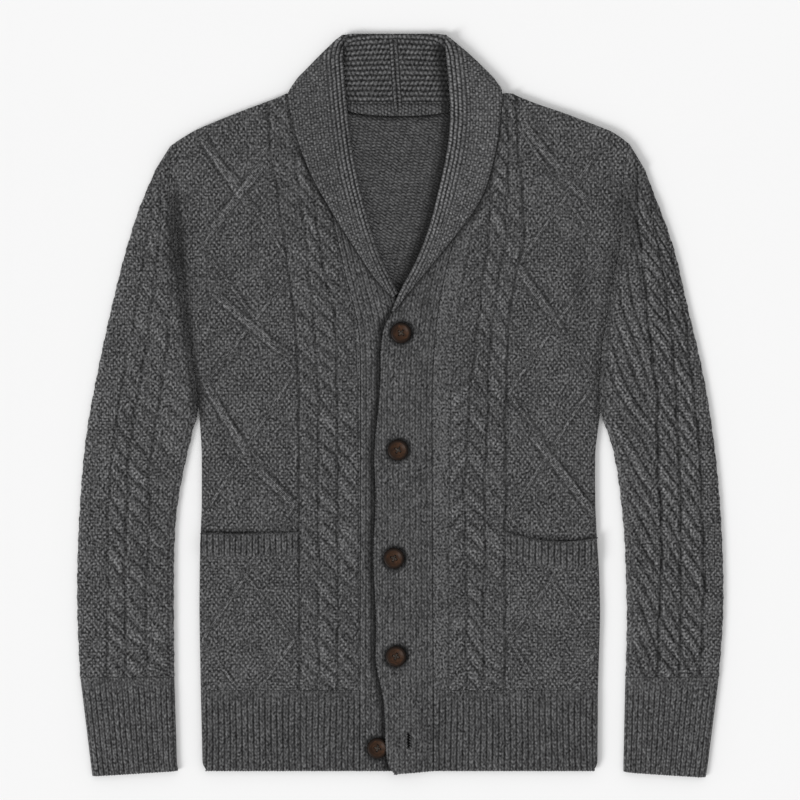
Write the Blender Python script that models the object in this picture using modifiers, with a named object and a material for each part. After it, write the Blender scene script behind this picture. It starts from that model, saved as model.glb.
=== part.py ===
"""Cable knit cardigan with a shawl collar, lying flat on its back.

X runs towards the wearer's left, Y towards the collar and Z up from the surface it lies on.
Sizes and tables are in millimetres, measured from the centre line and from the middle of the
length; `MM` turns them into metres when a mesh is made. Left and right are the wearer's.
"""
import math

import bmesh
import bpy
import numpy as np
from mathutils import Vector, geometry

MM = 0.001
INSIDE = 1              # Blender's Delaunay output: triangles inside the constraints
Y_SHIFT = 1.0           # puts the origin under the middle of the garment's box

# ---------------------------------------------------------------- driving sizes
WALL = 3.2              # knitted cloth between its ribs and cables
GAP = 0.3               # between pieces, at seams and between layers
LAYER = WALL + GAP
BACK_LEVEL = 0.0        # undersides of the layers, from the surface up
FRONT_LEVEL = BACK_LEVEL + LAYER
OVER_LEVEL = FRONT_LEVEL + LAYER
SLIT = 1.0              # air between the two walls of a flattened sleeve
FOLD = 3.2              # solid width of a sleeve's folded edge

RIB = 1.3               # height of a rib
CABLE = 2.3             # height of a cable's strand
PURL = 0.9              # depth of the purl ditch beside a cable
DIAMOND = 1.7           # height of the lattice's travelling stitches
DIAMOND_FOOT = 3.4      # half width of that ridge
LEAST_SPACING = 1.3     # between points of different lines on a surface
CABLE_PITCH = 19.5      # from strand to strand along a cable
RIB_PITCH = 5.8         # hem and cuffs
COLLAR_PITCH = 5.0      # collar ribs
WELT_PITCH = 5.5        # pocket welts

HEM_LINE = -285.0       # where the fronts and back turn into ribbing
HEM_END = -366.0
CUFF_LINE = -272.0
CUFF_END_OUTER = -371.5
CUFF_END_INNER = -366.0
HEM_CORNER = 7.0

BUTTON_RADIUS = 10.3
BUTTON_THICKNESS = 3.8
BUTTON_STEPS = 16
# Buttons: x, y; the first four close the front, the fifth is undone on the under band.
BUTTONS = ((-0.5, 72.0), (-3.5, -45.0), (-7.5, -153.0), (-5.5, -251.0), (-24.0, -343.0))
BUTTONHOLE = dict(x=7.0, y=-335.0, width=3.4, length=16.0)

# ---------------------------------------------------------------- outline
# Rows: height y, then the distance from the centre line on the wearer's right and left.
SLEEVE_OUTER = ((CUFF_END_OUTER, 309.5, 304.5), (-325, 315.5, 314.5), (CUFF_LINE, 322.3, 321.0),
                (-215, 325.0, 325.0), (-155, 325.0, 325.0), (-85, 321.5, 321.0),
                (-25, 315.5, 314.5), (35, 304.5, 304.5), (95, 291.5, 290.5),
                (155, 276.5, 276.5), (195, 263.5, 262.5), (235, 246.5, 246.5))
SLEEVE_INNER = ((CUFF_END_INNER, 223.0, 222.0), (-325, 223.5, 222.0), (CUFF_LINE, 225.0, 224.0),
                (-205, 225.5, 225.5), (-145, 225.0, 222.5), (-105, 222.5, 219.5),
                (-65, 215.5, 214.5), (-35, 208.5, 208.0), (-8, 202.5, 199.0))
ARMHOLE = ((-8, 202.5, 199.0), (12, 204.2, 197.5), (46, 208.5, 198.8), (84, 214.0, 204.5),
           (129, 219.5, 212.0), (160, 222.5, 218.5), (200, 227.0, 220.8), (240, 231.0, 223.0),
           (262, 232.5, 227.5))
BODY_SIDE = ((HEM_LINE, 201.0, 199.5), (-205, 202.3, 201.5), (-165, 202.0, 200.5),
             (-105, 201.2, 197.0), (-45, 201.2, 196.8), (-8, 202.5, 199.0))
# Seam between each front and its band, going up under the lapel to the neck point.
BAND_SEAM = ((HEM_LINE, 41.5, 32.0), (-60, 41.0, 31.0), (15, 41.0, 31.0), (70, 42.0, 34.0),
             (105, 49.5, 38.5), (130, 56.0, 43.5), (170, 65.0, 54.0), (200, 71.0, 63.5),
             (226, 76.5, 70.5), (270, 84.0, 78.0))
# Shoulder edge from the shoulder point, then the neck edge to the centre back.
SHOULDER = ((232.5, 262, 227.5), (206.5, 275, 211.0), (157.5, 295, 162.5), (115.0, 310.5, 112.0))
NECK = ((95.0, 308.0, 93.0), (74.0, 300.0, 70.0), (52.0, 293.0, 47.5), (26.0, 289.8, 22.0))
NECK_BOTTOM = 289.0
# Edge of the over band, rows y, x; it stops where the collar starts to turn over.
OVER_EDGE = ((-362, -13.0), (-342, -16.0), (-297, -17.5), (-255, -26.0), (-205, -27.5),
             (-150, -30.0), (-95, -27.5), (-48, -29.0), (0, -24.5), (50, -21.0), (79, -17.5))
OVER_BREAK = (-10.5, 90.0)
OVER_TIP = (-6.5, -369.0)
UNDER_EDGE = 12.0       # hidden edge of the under band
RAMP = (13.0, 31.0)     # between these the over band comes down to the front beside it

# Lapels, points x, y from the top down: the roll edge and the free edge.
ROLL_RIGHT = ((-58.5, 369.5), (-58.5, 352.0), (-53.5, 293.0), (-46.5, 241.0), (-36.5, 198.0),
              (-21.5, 150.0), (-2.9, 112.0))
FREE_RIGHT = ((-66.5, 366.0), (-79.5, 354.5), (-97.0, 334.5), (-116.0, 314.0), (-111.5, 297.0),
              (-103.5, 263.0), (-88.5, 226.0), (-65.5, 186.0), (-42.5, 150.0), (-25.5, 125.0),
              (-9.0, 107.5))
ROLL_LEFT = ((44.0, 369.5), (44.0, 352.0), (48.5, 301.0), (46.5, 263.0), (39.5, 226.0),
             (26.5, 175.0), (12.5, 140.0), (-2.5, 112.5), (-10.3, 93.5))
FREE_LEFT = ((53.5, 366.0), (67.5, 355.0), (88.5, 335.0), (104.5, 315.5), (99.5, 297.0),
             (97.5, 270.0), (87.5, 226.0), (76.5, 200.0), (55.5, 171.0), (30.5, 140.0),
             (11.5, 117.0), (0.0, 103.0), (-6.0, 94.0))
LAPEL_TUCK = 8.0        # how far the band reaches under the lapel's free edge
TUCK_TOP = {"right": 208.0, "left": 182.0}      # where each band ends on its seam, under the lapel
COLLAR_TOP = 369.5
COLLAR_SEAM = ((-8.5, COLLAR_TOP), (-3.0, NECK_BOTTOM))     # centre-back seam, top and bottom
COLLAR_EDGING = 11.0    # plain strip along the neck seam
COLLAR_HEIGHT = 6.4     # the stand and the hidden fall behind it
LAPEL_HEIGHT = 10.4     # top of a lapel on its front

# ---------------------------------------------------------------- knitted pattern
# Ditches between the cables, rows y, then distances from the centre line, outermost first.
DITCHES_RIGHT = ((HEM_LINE, 101.5, 83.5, 63.5, 42.5), (15, 102.5, 83.0, 64.0, 43.5),
                 (90, 106.5, 88.0, 67.0, 48.0), (135, 113.0, 93.5, 77.5, 59.0),
                 (180, 119.5, 96.0, 84.5, 68.0), (222, 125.0, 103.5, 90.0, 76.0),
                 (257, 131.5, 107.0, 94.0, 82.0), (300, 134.0, 112.0, 98.0, 86.0))
DITCHES_LEFT = ((HEM_LINE, 103.0, 81.0, 65.5, 47.0), (15, 104.0, 86.5, 70.5, 49.5),
                (80, 106.5, 90.5, 75.5, 55.0), (125, 112.5, 96.5, 82.0, 62.0),
                (165, 122.5, 104.5, 87.0, 69.0), (222, 120.0, 106.5, 89.5, 76.0),
                (257, 116.0, 106.5, 91.0, 80.0), (300, 114.0, 105.0, 93.0, 84.0))
# Travelling stitches of the lattice: turning points x, y of two crossing zigzags a front.
LATTICE_RIGHT = (((-197, 258), (-166, 228), (-107, 135), (-199, 18), (-107, -100), (-199, -235),
                  (-168, -278)),
                 ((-113, 282), (-199, 157), (-107, 33), (-199, -112), (-107, -235), (-138, -278)))
LATTICE_LEFT = (((108, 292), (203, 150), (107, 12), (195, -110), (108, -235), (136, -278)),
                ((199, 256), (118, 143), (194, 25), (108, -110), (196, -245), (168, -278)))
# Ditches along the sleeves, rows y, then distances, outermost first.
SLEEVE_DITCHES_RIGHT = ((CUFF_LINE, 293.5, 276.0, 255.5), (-170, 294.0, 276.5, 255.0),
                        (-115, 293.0, 275.5, 252.5), (-56, 290.0, 273.0, 251.5),
                        (5, 281.5, 264.5, 242.5), (67, 271.0, 254.0, 233.0),
                        (130, 259.0, 245.0, 229.5), (190, 250.0, 240.5, 232.0))
SLEEVE_DITCHES_LEFT = ((CUFF_LINE, 299.0, 278.0, 255.0), (-180, 302.0, 279.5, 259.5),
                       (-115, 301.0, 279.5, 259.5), (-50, 298.0, 277.5, 256.5),
                       (15, 292.0, 274.5, 255.0), (80, 283.5, 268.5, 247.5),
                       (129, 275.0, 263.0, 242.0), (190, 259.5, 250.0, 236.0))
# Pocket welts: x from, x to, top edge at both ends and the middle, depth at both ends.
POCKETS = {"right": dict(x=(-200.0, -102.5), top=(-127.5, -128.5, -126.5), depth=(24.0, 23.0)),
           "left": dict(x=(103.0, 198.0), top=(-126.0, -136.0, -132.5), depth=(25.0, 29.0))}

SIDES = {"right": -1, "left": 1}
COLUMN = {"right": 1, "left": 2}
SWATCHES = {"panel": (0.080, 0.080, 0.083), "rib": (0.072, 0.072, 0.075), "inside": (0.062, 0.062, 0.065)}
WOOL_ROUGHNESS = 0.95
BUTTON_BROWN = (0.050, 0.024, 0.013)
BUTTON_ROUGHNESS = 0.38


# ---------------------------------------------------------------- lines in the plane
def side_line(table, side):
    """Points (x, y) of one side from a table of distances, bottom to top."""
    return np.array([(SIDES[side] * row[COLUMN[side]], row[0]) for row in table], float)


def at_height(table, column, side):
    """Function giving x at a height, on one side, from a column of a table of distances."""
    heights = [row[0] for row in table]
    return lambda y: SIDES[side] * np.interp(y, heights, [row[column] for row in table])


def smooth(points, step=16.0):
    """A curve through the points, with a vertex about every `step`."""
    points = np.asarray(points, float)
    ends = np.vstack([2 * points[0] - points[1], points, 2 * points[-1] - points[-2]])
    line = []
    for a, b, c, d in zip(ends, ends[1:], ends[2:], ends[3:]):
        count = max(1, int(round(np.linalg.norm(c - b) / step)))
        for t in np.arange(count) / count:
            line.append(0.5 * (2 * b + (c - a) * t + (2 * a - 5 * b + 4 * c - d) * t ** 2
                               + (3 * b - a - 3 * c + d) * t ** 3))
    return np.vstack([line, points[-1:]])


def moved(line, distance, closed=False):
    """The line moved sideways, to its left where the distance is positive."""
    line = np.asarray(line, float)
    before, after = np.roll(line, 1, axis=0), np.roll(line, -1, axis=0)
    if not closed:
        before[0], after[-1] = line[0], line[-1]
    normals = []
    for p, q, r in zip(before, line, after):
        turns = [Vector(v).normalized() for v in (q - p, r - q) if np.hypot(*v) > 1e-9]
        mean = sum(turns, Vector((0, 0))).normalized()
        stretch = 1 / max(0.5, mean.dot(turns[0]))
        normals.append((-mean.y * stretch, mean.x * stretch))
    return line + distance * np.array(normals)


def area(loop):
    x, y = np.asarray(loop).T[:2]
    return 0.5 * np.sum(x * np.roll(y, -1) - np.roll(x, -1) * y)


def seamed(*lines):
    """A closed loop from lines end to end, run anticlockwise and drawn in by half a seam's gap."""
    loop = [point for line in lines for point in np.asarray(line, float)]
    kept = [p for i, p in enumerate(loop) if np.hypot(*(p - loop[i - 1])) > 0.6]
    loop = np.array(kept if area(kept) > 0 else kept[::-1])
    return moved(loop, GAP / 2, closed=True)


def distance_to(points, line, closed=False):
    """Distance of each point to a line of segments."""
    points = np.atleast_2d(points)[:, :2]
    line = np.asarray(line, float)[:, :2]
    start, end = (line, np.roll(line, -1, axis=0)) if closed else (line[:-1], line[1:])
    run = end - start
    t = np.einsum("psk,sk->ps", points[:, None] - start, run) / np.maximum(1e-12, np.sum(run ** 2, axis=1))
    nearest = start + np.clip(t, 0, 1)[..., None] * run
    return np.min(np.linalg.norm(points[:, None] - nearest, axis=2), axis=1)


def inside(points, loop):
    points = np.atleast_2d(points)
    x, y = points[:, :1], points[:, 1:2]
    (ax, ay), (bx, by) = np.asarray(loop).T, np.roll(loop, -1, axis=0).T
    crossing = (ay > y) != (by > y)
    rise = np.where(by == ay, 1, by - ay)
    return np.sum(crossing & (x < (bx - ax) * (y - ay) / rise + ax), axis=1) % 2 == 1


def reach(points, loop):
    """How far points lie inside a loop; negative outside."""
    return np.where(inside(points, loop), 1, -1) * distance_to(points, loop, closed=True)


# ---------------------------------------------------------------- marks: lines that a surface keeps
def mark(points, heights=0.0):
    """A line of points x, y with the height each adds to the surface."""
    points = np.asarray(points, float)
    return np.column_stack([points[:, :2], np.broadcast_to(heights, len(points))])


def kept_runs(marks, keep):
    """Cuts marks into runs of the points that `keep` allows."""
    runs = []
    for line in marks:
        allowed = keep(line[:, :2])
        start = None
        for index, good in enumerate(list(allowed) + [False]):
            if good and start is None:
                start = index
            elif not good and start is not None:
                runs.append(line[start:index])
                start = None
    return runs


def uncrossed(marks, keep, samples=6):
    """Splits marks wherever the segment between two points leaves what `keep` allows."""
    runs = []
    for line in marks:
        start = 0
        for index, (a, b) in enumerate(zip(line, line[1:]), 1):
            steps = np.arange(1, samples) / samples
            if not np.all(keep(a[:2] + steps[:, None] * (b[:2] - a[:2]))):
                runs.append(line[start:index])
                start = index
        runs.append(line[start:])
    return runs


def spaced(marks, least, taken=()):
    """Leaves out points closer than `least` to a point of an earlier mark or of `taken`."""
    runs = []
    taken = np.vstack([line[:, :2] for line in taken]) if taken else np.empty((0, 2))
    for line in marks:
        far = [len(taken) == 0 or np.min(np.hypot(*(taken - p[:2]).T)) > least for p in line]
        new = kept_runs([line], lambda _points, far=far: far)
        runs += new
        taken = np.vstack([taken] + [run[:, :2] for run in new])
    return runs


def rope(left_edge, right_edge, top, bottom, lean=15.0, height=CABLE, stations=3, between=1):
    """Strands of a cable between two edges, each running down to the right over its neighbour."""
    marks = []
    rows = ((0.0, np.linspace(0.16, 0.84, stations), height),
            (CABLE_PITCH / 2, np.arange(1, between + 1) / (between + 1), 0.1 * height))
    for y in np.arange(top, bottom + lean, -CABLE_PITCH):
        for drop, t, peak in rows:
            heights = y - drop - lean * t
            across = (1 - t) * left_edge(heights) + t * right_edge(heights)
            bulge = 0.45 + 0.55 * np.sin(math.pi * t)
            marks.append(mark(np.column_stack([across, heights]), peak * bulge))
    return marks


def ditch(edge, top, bottom, step=CABLE_PITCH):
    heights = np.arange(top, bottom, -step)
    return mark(np.column_stack([edge(heights), heights]), -PURL)


def ridge(turns, step=28.0):
    """A travelling stitch: its crest, and its feet on both sides."""
    crest = []
    for a, b in zip(np.array(turns, float), np.array(turns[1:], float)):
        count = max(1, int(round(np.linalg.norm(b - a) / step)))
        crest += [a + (b - a) * t for t in np.arange(count) / count]
    crest.append(np.array(turns[-1], float))
    return [mark(crest, DIAMOND), mark(moved(crest, DIAMOND_FOOT)), mark(moved(crest, -DIAMOND_FOOT))]


def ribs_along(line, first, count, pitch, height):
    """Ribs beside a line: crests and valleys at a fixed pitch, moved out from it."""
    marks = []
    for index in range(count):
        marks.append(mark(moved(line, first + index * pitch), -0.15 * height))
        marks.append(mark(moved(line, first + (index + 0.5) * pitch), height))
    return marks


# ---------------------------------------------------------------- surfaces and solids
def with_crossings(loop, marks):
    """The loop, with a vertex wherever a mark crosses it."""
    loop = [np.asarray(p, float) for p in loop]
    result = []
    for a, b in zip(loop, loop[1:] + loop[:1]):
        result.append(a)
        hits = []
        for line in marks:
            for c, d in zip(line[:, :2], line[1:, :2]):
                hit = geometry.intersect_line_line_2d(c, d, a, b)
                if hit is not None:
                    hits.append(np.array(hit))
        hits.sort(key=lambda p: np.hypot(*(p - a)))
        for p in hits:
            if min(np.hypot(*(p - result[-1])), np.hypot(*(p - b))) > 0.25:
                result.append(p)
    return np.array(result)


def triangulated(loop, marks, holes=()):
    """Triangles inside the loop that keep every mark; vertices x, y, added height, and the loop's."""
    rims = [np.asarray(loop)] + [np.asarray(h) for h in holes]
    points, added, edges = [], [], []
    for rim in rims:
        first = len(points)
        points += list(rim)
        added += [0.0] * len(rim)
        edges += [(first + i, first + (i + 1) % len(rim)) for i in range(len(rim))]
    for line in marks:
        first = len(points)
        points += list(line[:, :2])
        added += list(line[:, 2])
        edges += [(first + i, first + i + 1) for i in range(len(line) - 1)]
    coords, _, faces, origins, _, _ = geometry.delaunay_2d_cdt(
        [Vector(p) for p in points], edges, [], INSIDE, 1e-4)
    coords = np.array([tuple(p) for p in coords])
    centres = np.array([coords[list(face)].mean(axis=0) for face in faces])
    wanted = np.ones(len(faces), bool)
    for rim in rims[1:]:
        wanted &= ~inside(centres, rim)
    extra = np.zeros(len(coords))
    for index, source in enumerate(origins):
        if source:
            extra[index] = added[min(source)]
        else:
            extra[index] = crossing_height(coords[index], marks)
    place = {source: index for index, sources in enumerate(origins) for source in sources}
    rim_places = []
    start = 0
    for rim in rims:
        rim_places.append([place[start + i] for i in range(len(rim))])
        start += len(rim)
    return coords, extra, [tuple(f) for f, good in zip(faces, wanted) if good], rim_places


def crossing_height(point, marks):
    """Height where two marks cross: the higher of the two."""
    best = 0.0
    for line in marks:
        for a, b in zip(line, line[1:]):
            run = b[:2] - a[:2]
            t = np.dot(point - a[:2], run) / max(1e-12, np.dot(run, run))
            if -0.001 <= t <= 1.001 and np.hypot(*(a[:2] + t * run - point)) < 0.02:
                best = max(best, a[2] + t * (b[2] - a[2]))
    return best


class Solid:
    """Vertices and faces of one closed body, gathered surface by surface."""

    def __init__(self):
        self.points = []
        self.faces = []

    def surface(self, coords, heights, faces):
        """Adds a triangulated surface and gives the number of its first vertex."""
        used = sorted({i for face in faces for i in face})
        number = {old: len(self.points) + new for new, old in enumerate(used)}
        self.points += [(coords[i][0], coords[i][1], heights[i]) for i in used]
        self.faces += [tuple(number[i] for i in face) for face in faces]
        return number

    def wall(self, upper, lower):
        """Joins two rings of vertices that lie one above the other."""
        pairs = list(zip(upper, lower))
        for (a, c), (b, d) in zip(pairs, pairs[1:] + pairs[:1]):
            self.faces.append((a, b, d, c))

    def make(self, name, swatch, roughness=WOOL_ROUGHNESS):
        mesh = bpy.data.meshes.new(name)
        mesh.from_pydata([(x * MM, (y + Y_SHIFT) * MM, z * MM) for x, y, z in self.points], [], self.faces)
        bm = bmesh.new()
        bm.from_mesh(mesh)
        bmesh.ops.triangulate(bm, faces=[f for f in bm.faces if len(f.verts) > 3])
        bmesh.ops.recalc_face_normals(bm, faces=bm.faces[:])
        bm.to_mesh(mesh)
        bm.free()
        obj = bpy.data.objects.new(name, mesh)
        PARTS.objects.link(obj)
        mesh.materials.append(material(name, swatch, roughness))
        return obj


def clipped(lines, loop):
    """Stretches of lines inside a loop, ending on the loop's own vertices where they cross it."""
    runs = []
    for line in lines:
        run = [line[0]]
        for a, b in zip(line, line[1:]):
            for hit in hits_on(loop, a[:2], b[:2]):
                corner = loop[np.argmin(np.hypot(*(loop - hit).T))]
                run.append(np.array([*corner, a[2]]))
                runs.append(np.array(run))
                run = run[-1:]
            run.append(b)
        runs.append(np.array(run))
    runs = [run for run in runs if len(run) > 1]
    middle = lambda run: (run[(len(run) - 1) // 2] + run[(len(run) + 1) // 2])[:2] / 2
    return [run for run in runs if inside(middle(run), loop)[0]]


def hits_on(loop, start, end):
    """Where a segment crosses the loop, in order along the segment."""
    sides = zip(loop, np.roll(loop, -1, axis=0))
    hits = [geometry.intersect_line_line_2d(start, end, c, d) for c, d in sides]
    hits = [np.array(hit) for hit in hits if hit is not None]
    return sorted(hits, key=lambda hit: np.hypot(*(hit - start)))


def panel(name, loop, top, under, marks=(), covers=(), creases=(), steps=(), holes=(), swatch="panel"):
    """A cloth wall over a closed loop, with the heights of its two faces given as functions.

    `marks` are raised on the top, clear of its border and of the loops in `covers`, which lie on it.
    `creases` bend the top and `steps` the underside, right to the border.
    """
    clear = 1.0
    rims = [np.asarray(hole) for hole in holes]
    rests = [moved(cover, -0.5, closed=True) for cover in covers]
    creases = [mark(np.vstack([rest, rest[:1]])) for rest in rests] + list(creases)
    loop = with_crossings(loop, creases + list(steps))
    clear_of_covers = outside(rests + rims, clear)
    free = lambda points: (reach(points, loop) > clear) & clear_of_covers(points)
    creases = clipped(creases, loop)
    raised = creases + uncrossed(spaced(kept_runs(marks, free), LEAST_SPACING, creases), free)
    solid = Solid()
    rings = []
    for kept, height in ((raised, top), (clipped(list(steps), loop), under)):
        coords, extra, faces, rim_places = triangulated(loop, kept, rims)
        number = solid.surface(coords, height(coords) + extra, faces)
        rings.append([[number[i] for i in rim] for rim in rim_places])
    for upper, lower in zip(*rings):
        solid.wall(upper, lower)
    return solid.make(name, swatch)


def flat_tube(name, loop, open_ends, top, under, top_marks=(), under_marks=(), swatch="panel"):
    """A flattened tube: two walls joined at the folded edges, with a slit open at both ends.

    `open_ends` gives, for each open end, the loop's first and last vertex in the slit.
    """
    count = len(loop)
    openings = [[(first + i) % count for i in range((last - first) % count + 1)] for first, last in open_ends]
    open_vertices = {i for run in openings for i in run}
    slit, owner = [], []
    for run, following in zip(openings, openings[1:] + openings[:1]):
        slit += [loop[i] for i in run]
        owner += run
        fold = [(run[-1] + i) % count for i in range(1, (following[0] - run[-1]) % count)]
        inner = moved(loop, FOLD, closed=True)
        for i in fold[1:-1]:
            slit.append(inner[i])
            owner.append(None)
    slit = np.array(slit)
    solid = Solid()
    free = lambda points: reach(points, loop) > 1.0
    marks = uncrossed(spaced(kept_runs(top_marks, free), LEAST_SPACING), free)
    coords, extra, faces, (rim,) = triangulated(loop, marks)
    number = solid.surface(coords, top(coords) + extra, faces)
    upper = [number[i] for i in rim]
    coords, extra, faces, (rim,) = triangulated(loop, kept_runs(under_marks, free))
    number = solid.surface(coords, under(coords), faces)
    lower = [number[i] for i in rim]
    rings = []
    for level in (WALL + SLIT, WALL):
        coords, extra, faces, (rim,) = triangulated(slit, ())
        number = solid.surface(coords, np.full(len(coords), level), faces)
        rings.append([number[i] for i in rim])
    high = {i: v for i, v in zip(owner, rings[0]) if i is not None}
    low = {i: v for i, v in zip(owner, rings[1]) if i is not None}
    for i in range(count):
        j = (i + 1) % count
        both = i in open_vertices and j in open_vertices
        if both:
            solid.faces += [(upper[i], upper[j], high[j], high[i]), (low[i], low[j], lower[j], lower[i])]
        else:
            middle_i = [low[i], high[i]] if i in open_vertices else []
            middle_j = [high[j], low[j]] if j in open_vertices else []
            solid.faces.append(tuple([upper[i], upper[j]] + middle_j + [lower[j], lower[i]] + middle_i))
    for k in range(len(slit)):
        m = (k + 1) % len(slit)
        if owner[k] is None or owner[m] is None:
            solid.faces.append((rings[0][k], rings[0][m], rings[1][m], rings[1][k]))
    return solid.make(name, swatch)


def rib_profile(ribs, height):
    """Places across a ribbed strip, 0 to 1, and how high the knit stands at each."""
    places = np.arange(2 * ribs + 1) / (2 * ribs)
    return places, np.where(np.arange(2 * ribs + 1) % 2 == 1, height, 0.0)


def drawn_in(lines):
    """Moves the border of a grid of lines in by half a seam's gap."""
    lines = lines.copy()

    def unit(run):
        return GAP / 2 * run / np.linalg.norm(run, axis=1)[:, None]

    across = unit(lines[-1] - lines[0])
    first, last = unit(lines[:, 1] - lines[:, 0]), unit(lines[:, -1] - lines[:, -2])
    lines[0] += across
    lines[-1] -= across
    lines[:, 0] += first
    lines[:, -1] -= last
    return lines


def ribbed_top(lines, rise, level):
    """The top of a ribbed strip from the lines along its ribs, and its border ring."""
    lines = drawn_in(lines)
    columns, stations = lines.shape[:2]
    flat = lines.reshape(-1, 2)
    number = np.arange(columns * stations).reshape(columns, stations)
    solid = Solid()
    faces = [(int(number[c, s]), int(number[c + 1, s]), int(number[c + 1, s + 1]), int(number[c, s + 1]))
             for c in range(columns - 1) for s in range(stations - 1)]
    solid.surface(flat, level(flat) + np.repeat(rise, stations), faces)
    ring = list(number[0, ::-1]) + list(number[1:, 0]) + list(number[-1, 1:]) + list(number[-2:0:-1, -1])
    ring = [int(i) for i in ring]
    if area(flat[ring]) < 0:
        ring = ring[::-1]
    return solid, ring, flat[ring]


def ribbed_wall(name, lines, rise, level, under):
    """A ribbed strip with a plain underside."""
    solid, ring, loop = ribbed_top(lines, rise, level)
    coords, _, faces, (rim,) = triangulated(loop, ())
    number = solid.surface(coords, under(coords), faces)
    solid.wall(ring, [number[i] for i in rim])
    return solid.make(name, "rib")


def between(rail_a, rail_b, places):
    """Lines at given places between two rails of the same stations."""
    return rail_a[None] + places[:, None, None] * (rail_b - rail_a)[None]


def rounded(lines):
    """Function giving how far a surface falls towards lines, each with a depth and a reach."""
    def fall(points):
        drop = np.zeros(len(points))
        for line, depth, width in lines:
            away = np.clip(distance_to(points, line) / width, 0, 1)
            drop = np.maximum(drop, depth * (1 - np.sqrt(np.maximum(0, 1 - (1 - away) ** 2))))
        return drop
    return fall


def rings_inside(loop, distances, step):
    """Marks that follow the loop a little way in, to carry its rounded edge."""
    marks = []
    for distance in distances:
        line = moved(loop, distance, closed=True)
        line = line[::max(1, int(round(step / 16.0)))]
        marks.append(mark(np.vstack([line, line[:1]])))
    return marks


def dots(loop, step):
    """Loose points over a loop, so that a plain part isn't one flat face."""
    low, high = np.min(loop, axis=0), np.max(loop, axis=0)
    return [mark([(x, y)]) for y in np.arange(low[1] + step / 2, high[1], step)
            for x in np.arange(low[0] + step / 2, high[0], step)]


# ---------------------------------------------------------------- materials
def material(name, swatch, roughness):
    """The piece's own Principled material, in its knit's grey or a given colour."""
    made = bpy.data.materials.new(name)
    made.use_nodes = True
    shader = made.node_tree.nodes["Principled BSDF"]
    colour = SWATCHES[swatch] if isinstance(swatch, str) else swatch
    shader.inputs["Base Color"].default_value = (*colour, 1)
    shader.inputs["Roughness"].default_value = roughness
    shader.inputs["Metallic"].default_value = 0.0
    return made


# ---------------------------------------------------------------- shared seams
def shoulder_line(side):
    points = [(SIDES[side] * (row[0] if side == "right" else row[2]), row[1]) for row in SHOULDER]
    return smooth(points, 24.0)


def neck_line(side):
    """Neck edge of the back, from the shoulder edge to the centre."""
    points = [(SIDES[side] * (row[0] if side == "right" else row[2]), row[1]) for row in NECK]
    return smooth(points + [(COLLAR_SEAM[1][0], NECK_BOTTOM)], 14.0)


def lines_of(side):
    """Every seam and fold of one side, by name."""
    return dict(armhole=smooth(side_line(ARMHOLE, side)),
                body=smooth(side_line(BODY_SIDE, side), 30.0),
                outer=smooth(side_line(SLEEVE_OUTER[2:], side), 18.0),
                inner=smooth(side_line(SLEEVE_INNER[2:], side), 18.0),
                cuff_outer=side_line(SLEEVE_OUTER[:3], side),
                cuff_inner=side_line(SLEEVE_INNER[:3], side),
                seam=smooth(side_line(BAND_SEAM, side), 22.0),
                shoulder=shoulder_line(side),
                neck=neck_line(side))


LINES = {side: lines_of(side) for side in SIDES}


def flat_over(level):
    return lambda points: np.full(len(points), level)


def under_pieces(pieces, base):
    """Height of an underside that lies on other pieces: functions of place, and the lines it keeps."""
    def height(points):
        result = np.full(len(points), base)
        for loop, level in pieces:
            near = reach(points, loop) > -0.6
            result = np.where(near, np.maximum(result, level(points)), result)
        return result
    lines = []
    for loop, _ in pieces:
        for distance in (0.35, 0.95):
            ring = moved(loop, -distance, closed=True)
            lines.append(mark(np.vstack([ring, ring[:1]])))
    return height, lines


def circle(x, y, radius, count=16):
    angles = np.arange(count) * 2 * math.pi / count
    return np.column_stack([x + radius * np.cos(angles), y + radius * np.sin(angles)])


def outside(loops, margin):
    """Tells which points lie clear of all the loops."""
    def keep(points):
        good = np.ones(len(np.atleast_2d(points)), bool)
        for loop in loops:
            good &= reach(points, loop) < -margin
        return good
    return keep


# ---------------------------------------------------------------- loops of the pieces
LAPEL_LINES = {"right": (smooth(ROLL_RIGHT, 15.0), smooth(FREE_RIGHT, 13.0)),
               "left": (smooth(ROLL_LEFT, 15.0), smooth(FREE_LEFT, 13.0))}
LAPEL_LOOPS = {side: seamed(roll, free[::-1]) for side, (roll, free) in LAPEL_LINES.items()}


def seam_part(side, low, high):
    """The seam between a front and its band, between two heights."""
    line = LINES[side]["seam"]
    heights = line[:, 1]
    inner = line[(heights > low + 3) & (heights < high - 3)]
    ends = [(np.interp(y, heights, line[:, 0]), y) for y in (low, high)]
    return np.vstack([ends[:1], inner, ends[1:]])


def neck_start(side):
    """Where the front's neck edge meets the back's, under the collar."""
    return LINES[side]["neck"][1]


def front_loop(side):
    lines = LINES[side]
    seam = np.vstack([seam_part(side, HEM_LINE, 268.0), [neck_start(side)]])
    return seamed(lines["body"], lines["armhole"][1:], lines["shoulder"][1:], lines["neck"][:1], seam[::-1])


def back_loop():
    halves = {}
    for side, lines in LINES.items():
        halves[side] = np.vstack([lines["body"], lines["armhole"][1:], lines["shoulder"][1:], lines["neck"]])
    return seamed(halves["right"], halves["left"][::-1][1:])


def tuck_line(side):
    """Hidden top edge of a band under the lapel, from the seam down to the lapel's tip."""
    roll, free = LAPEL_LINES[side]
    corner = np.interp(TUCK_TOP[side], LINES[side]["seam"][:, 1], LINES[side]["seam"][:, 0])
    aside = moved(free, 1.0 if side == "right" else -1.0) - free
    tucked = free + aside * np.minimum(LAPEL_TUCK, 0.5 * distance_to(free, roll))[:, None]
    return np.vstack([[(corner, TUCK_TOP[side])], tucked[tucked[:, 1] < TUCK_TOP[side] - 5]])


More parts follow.
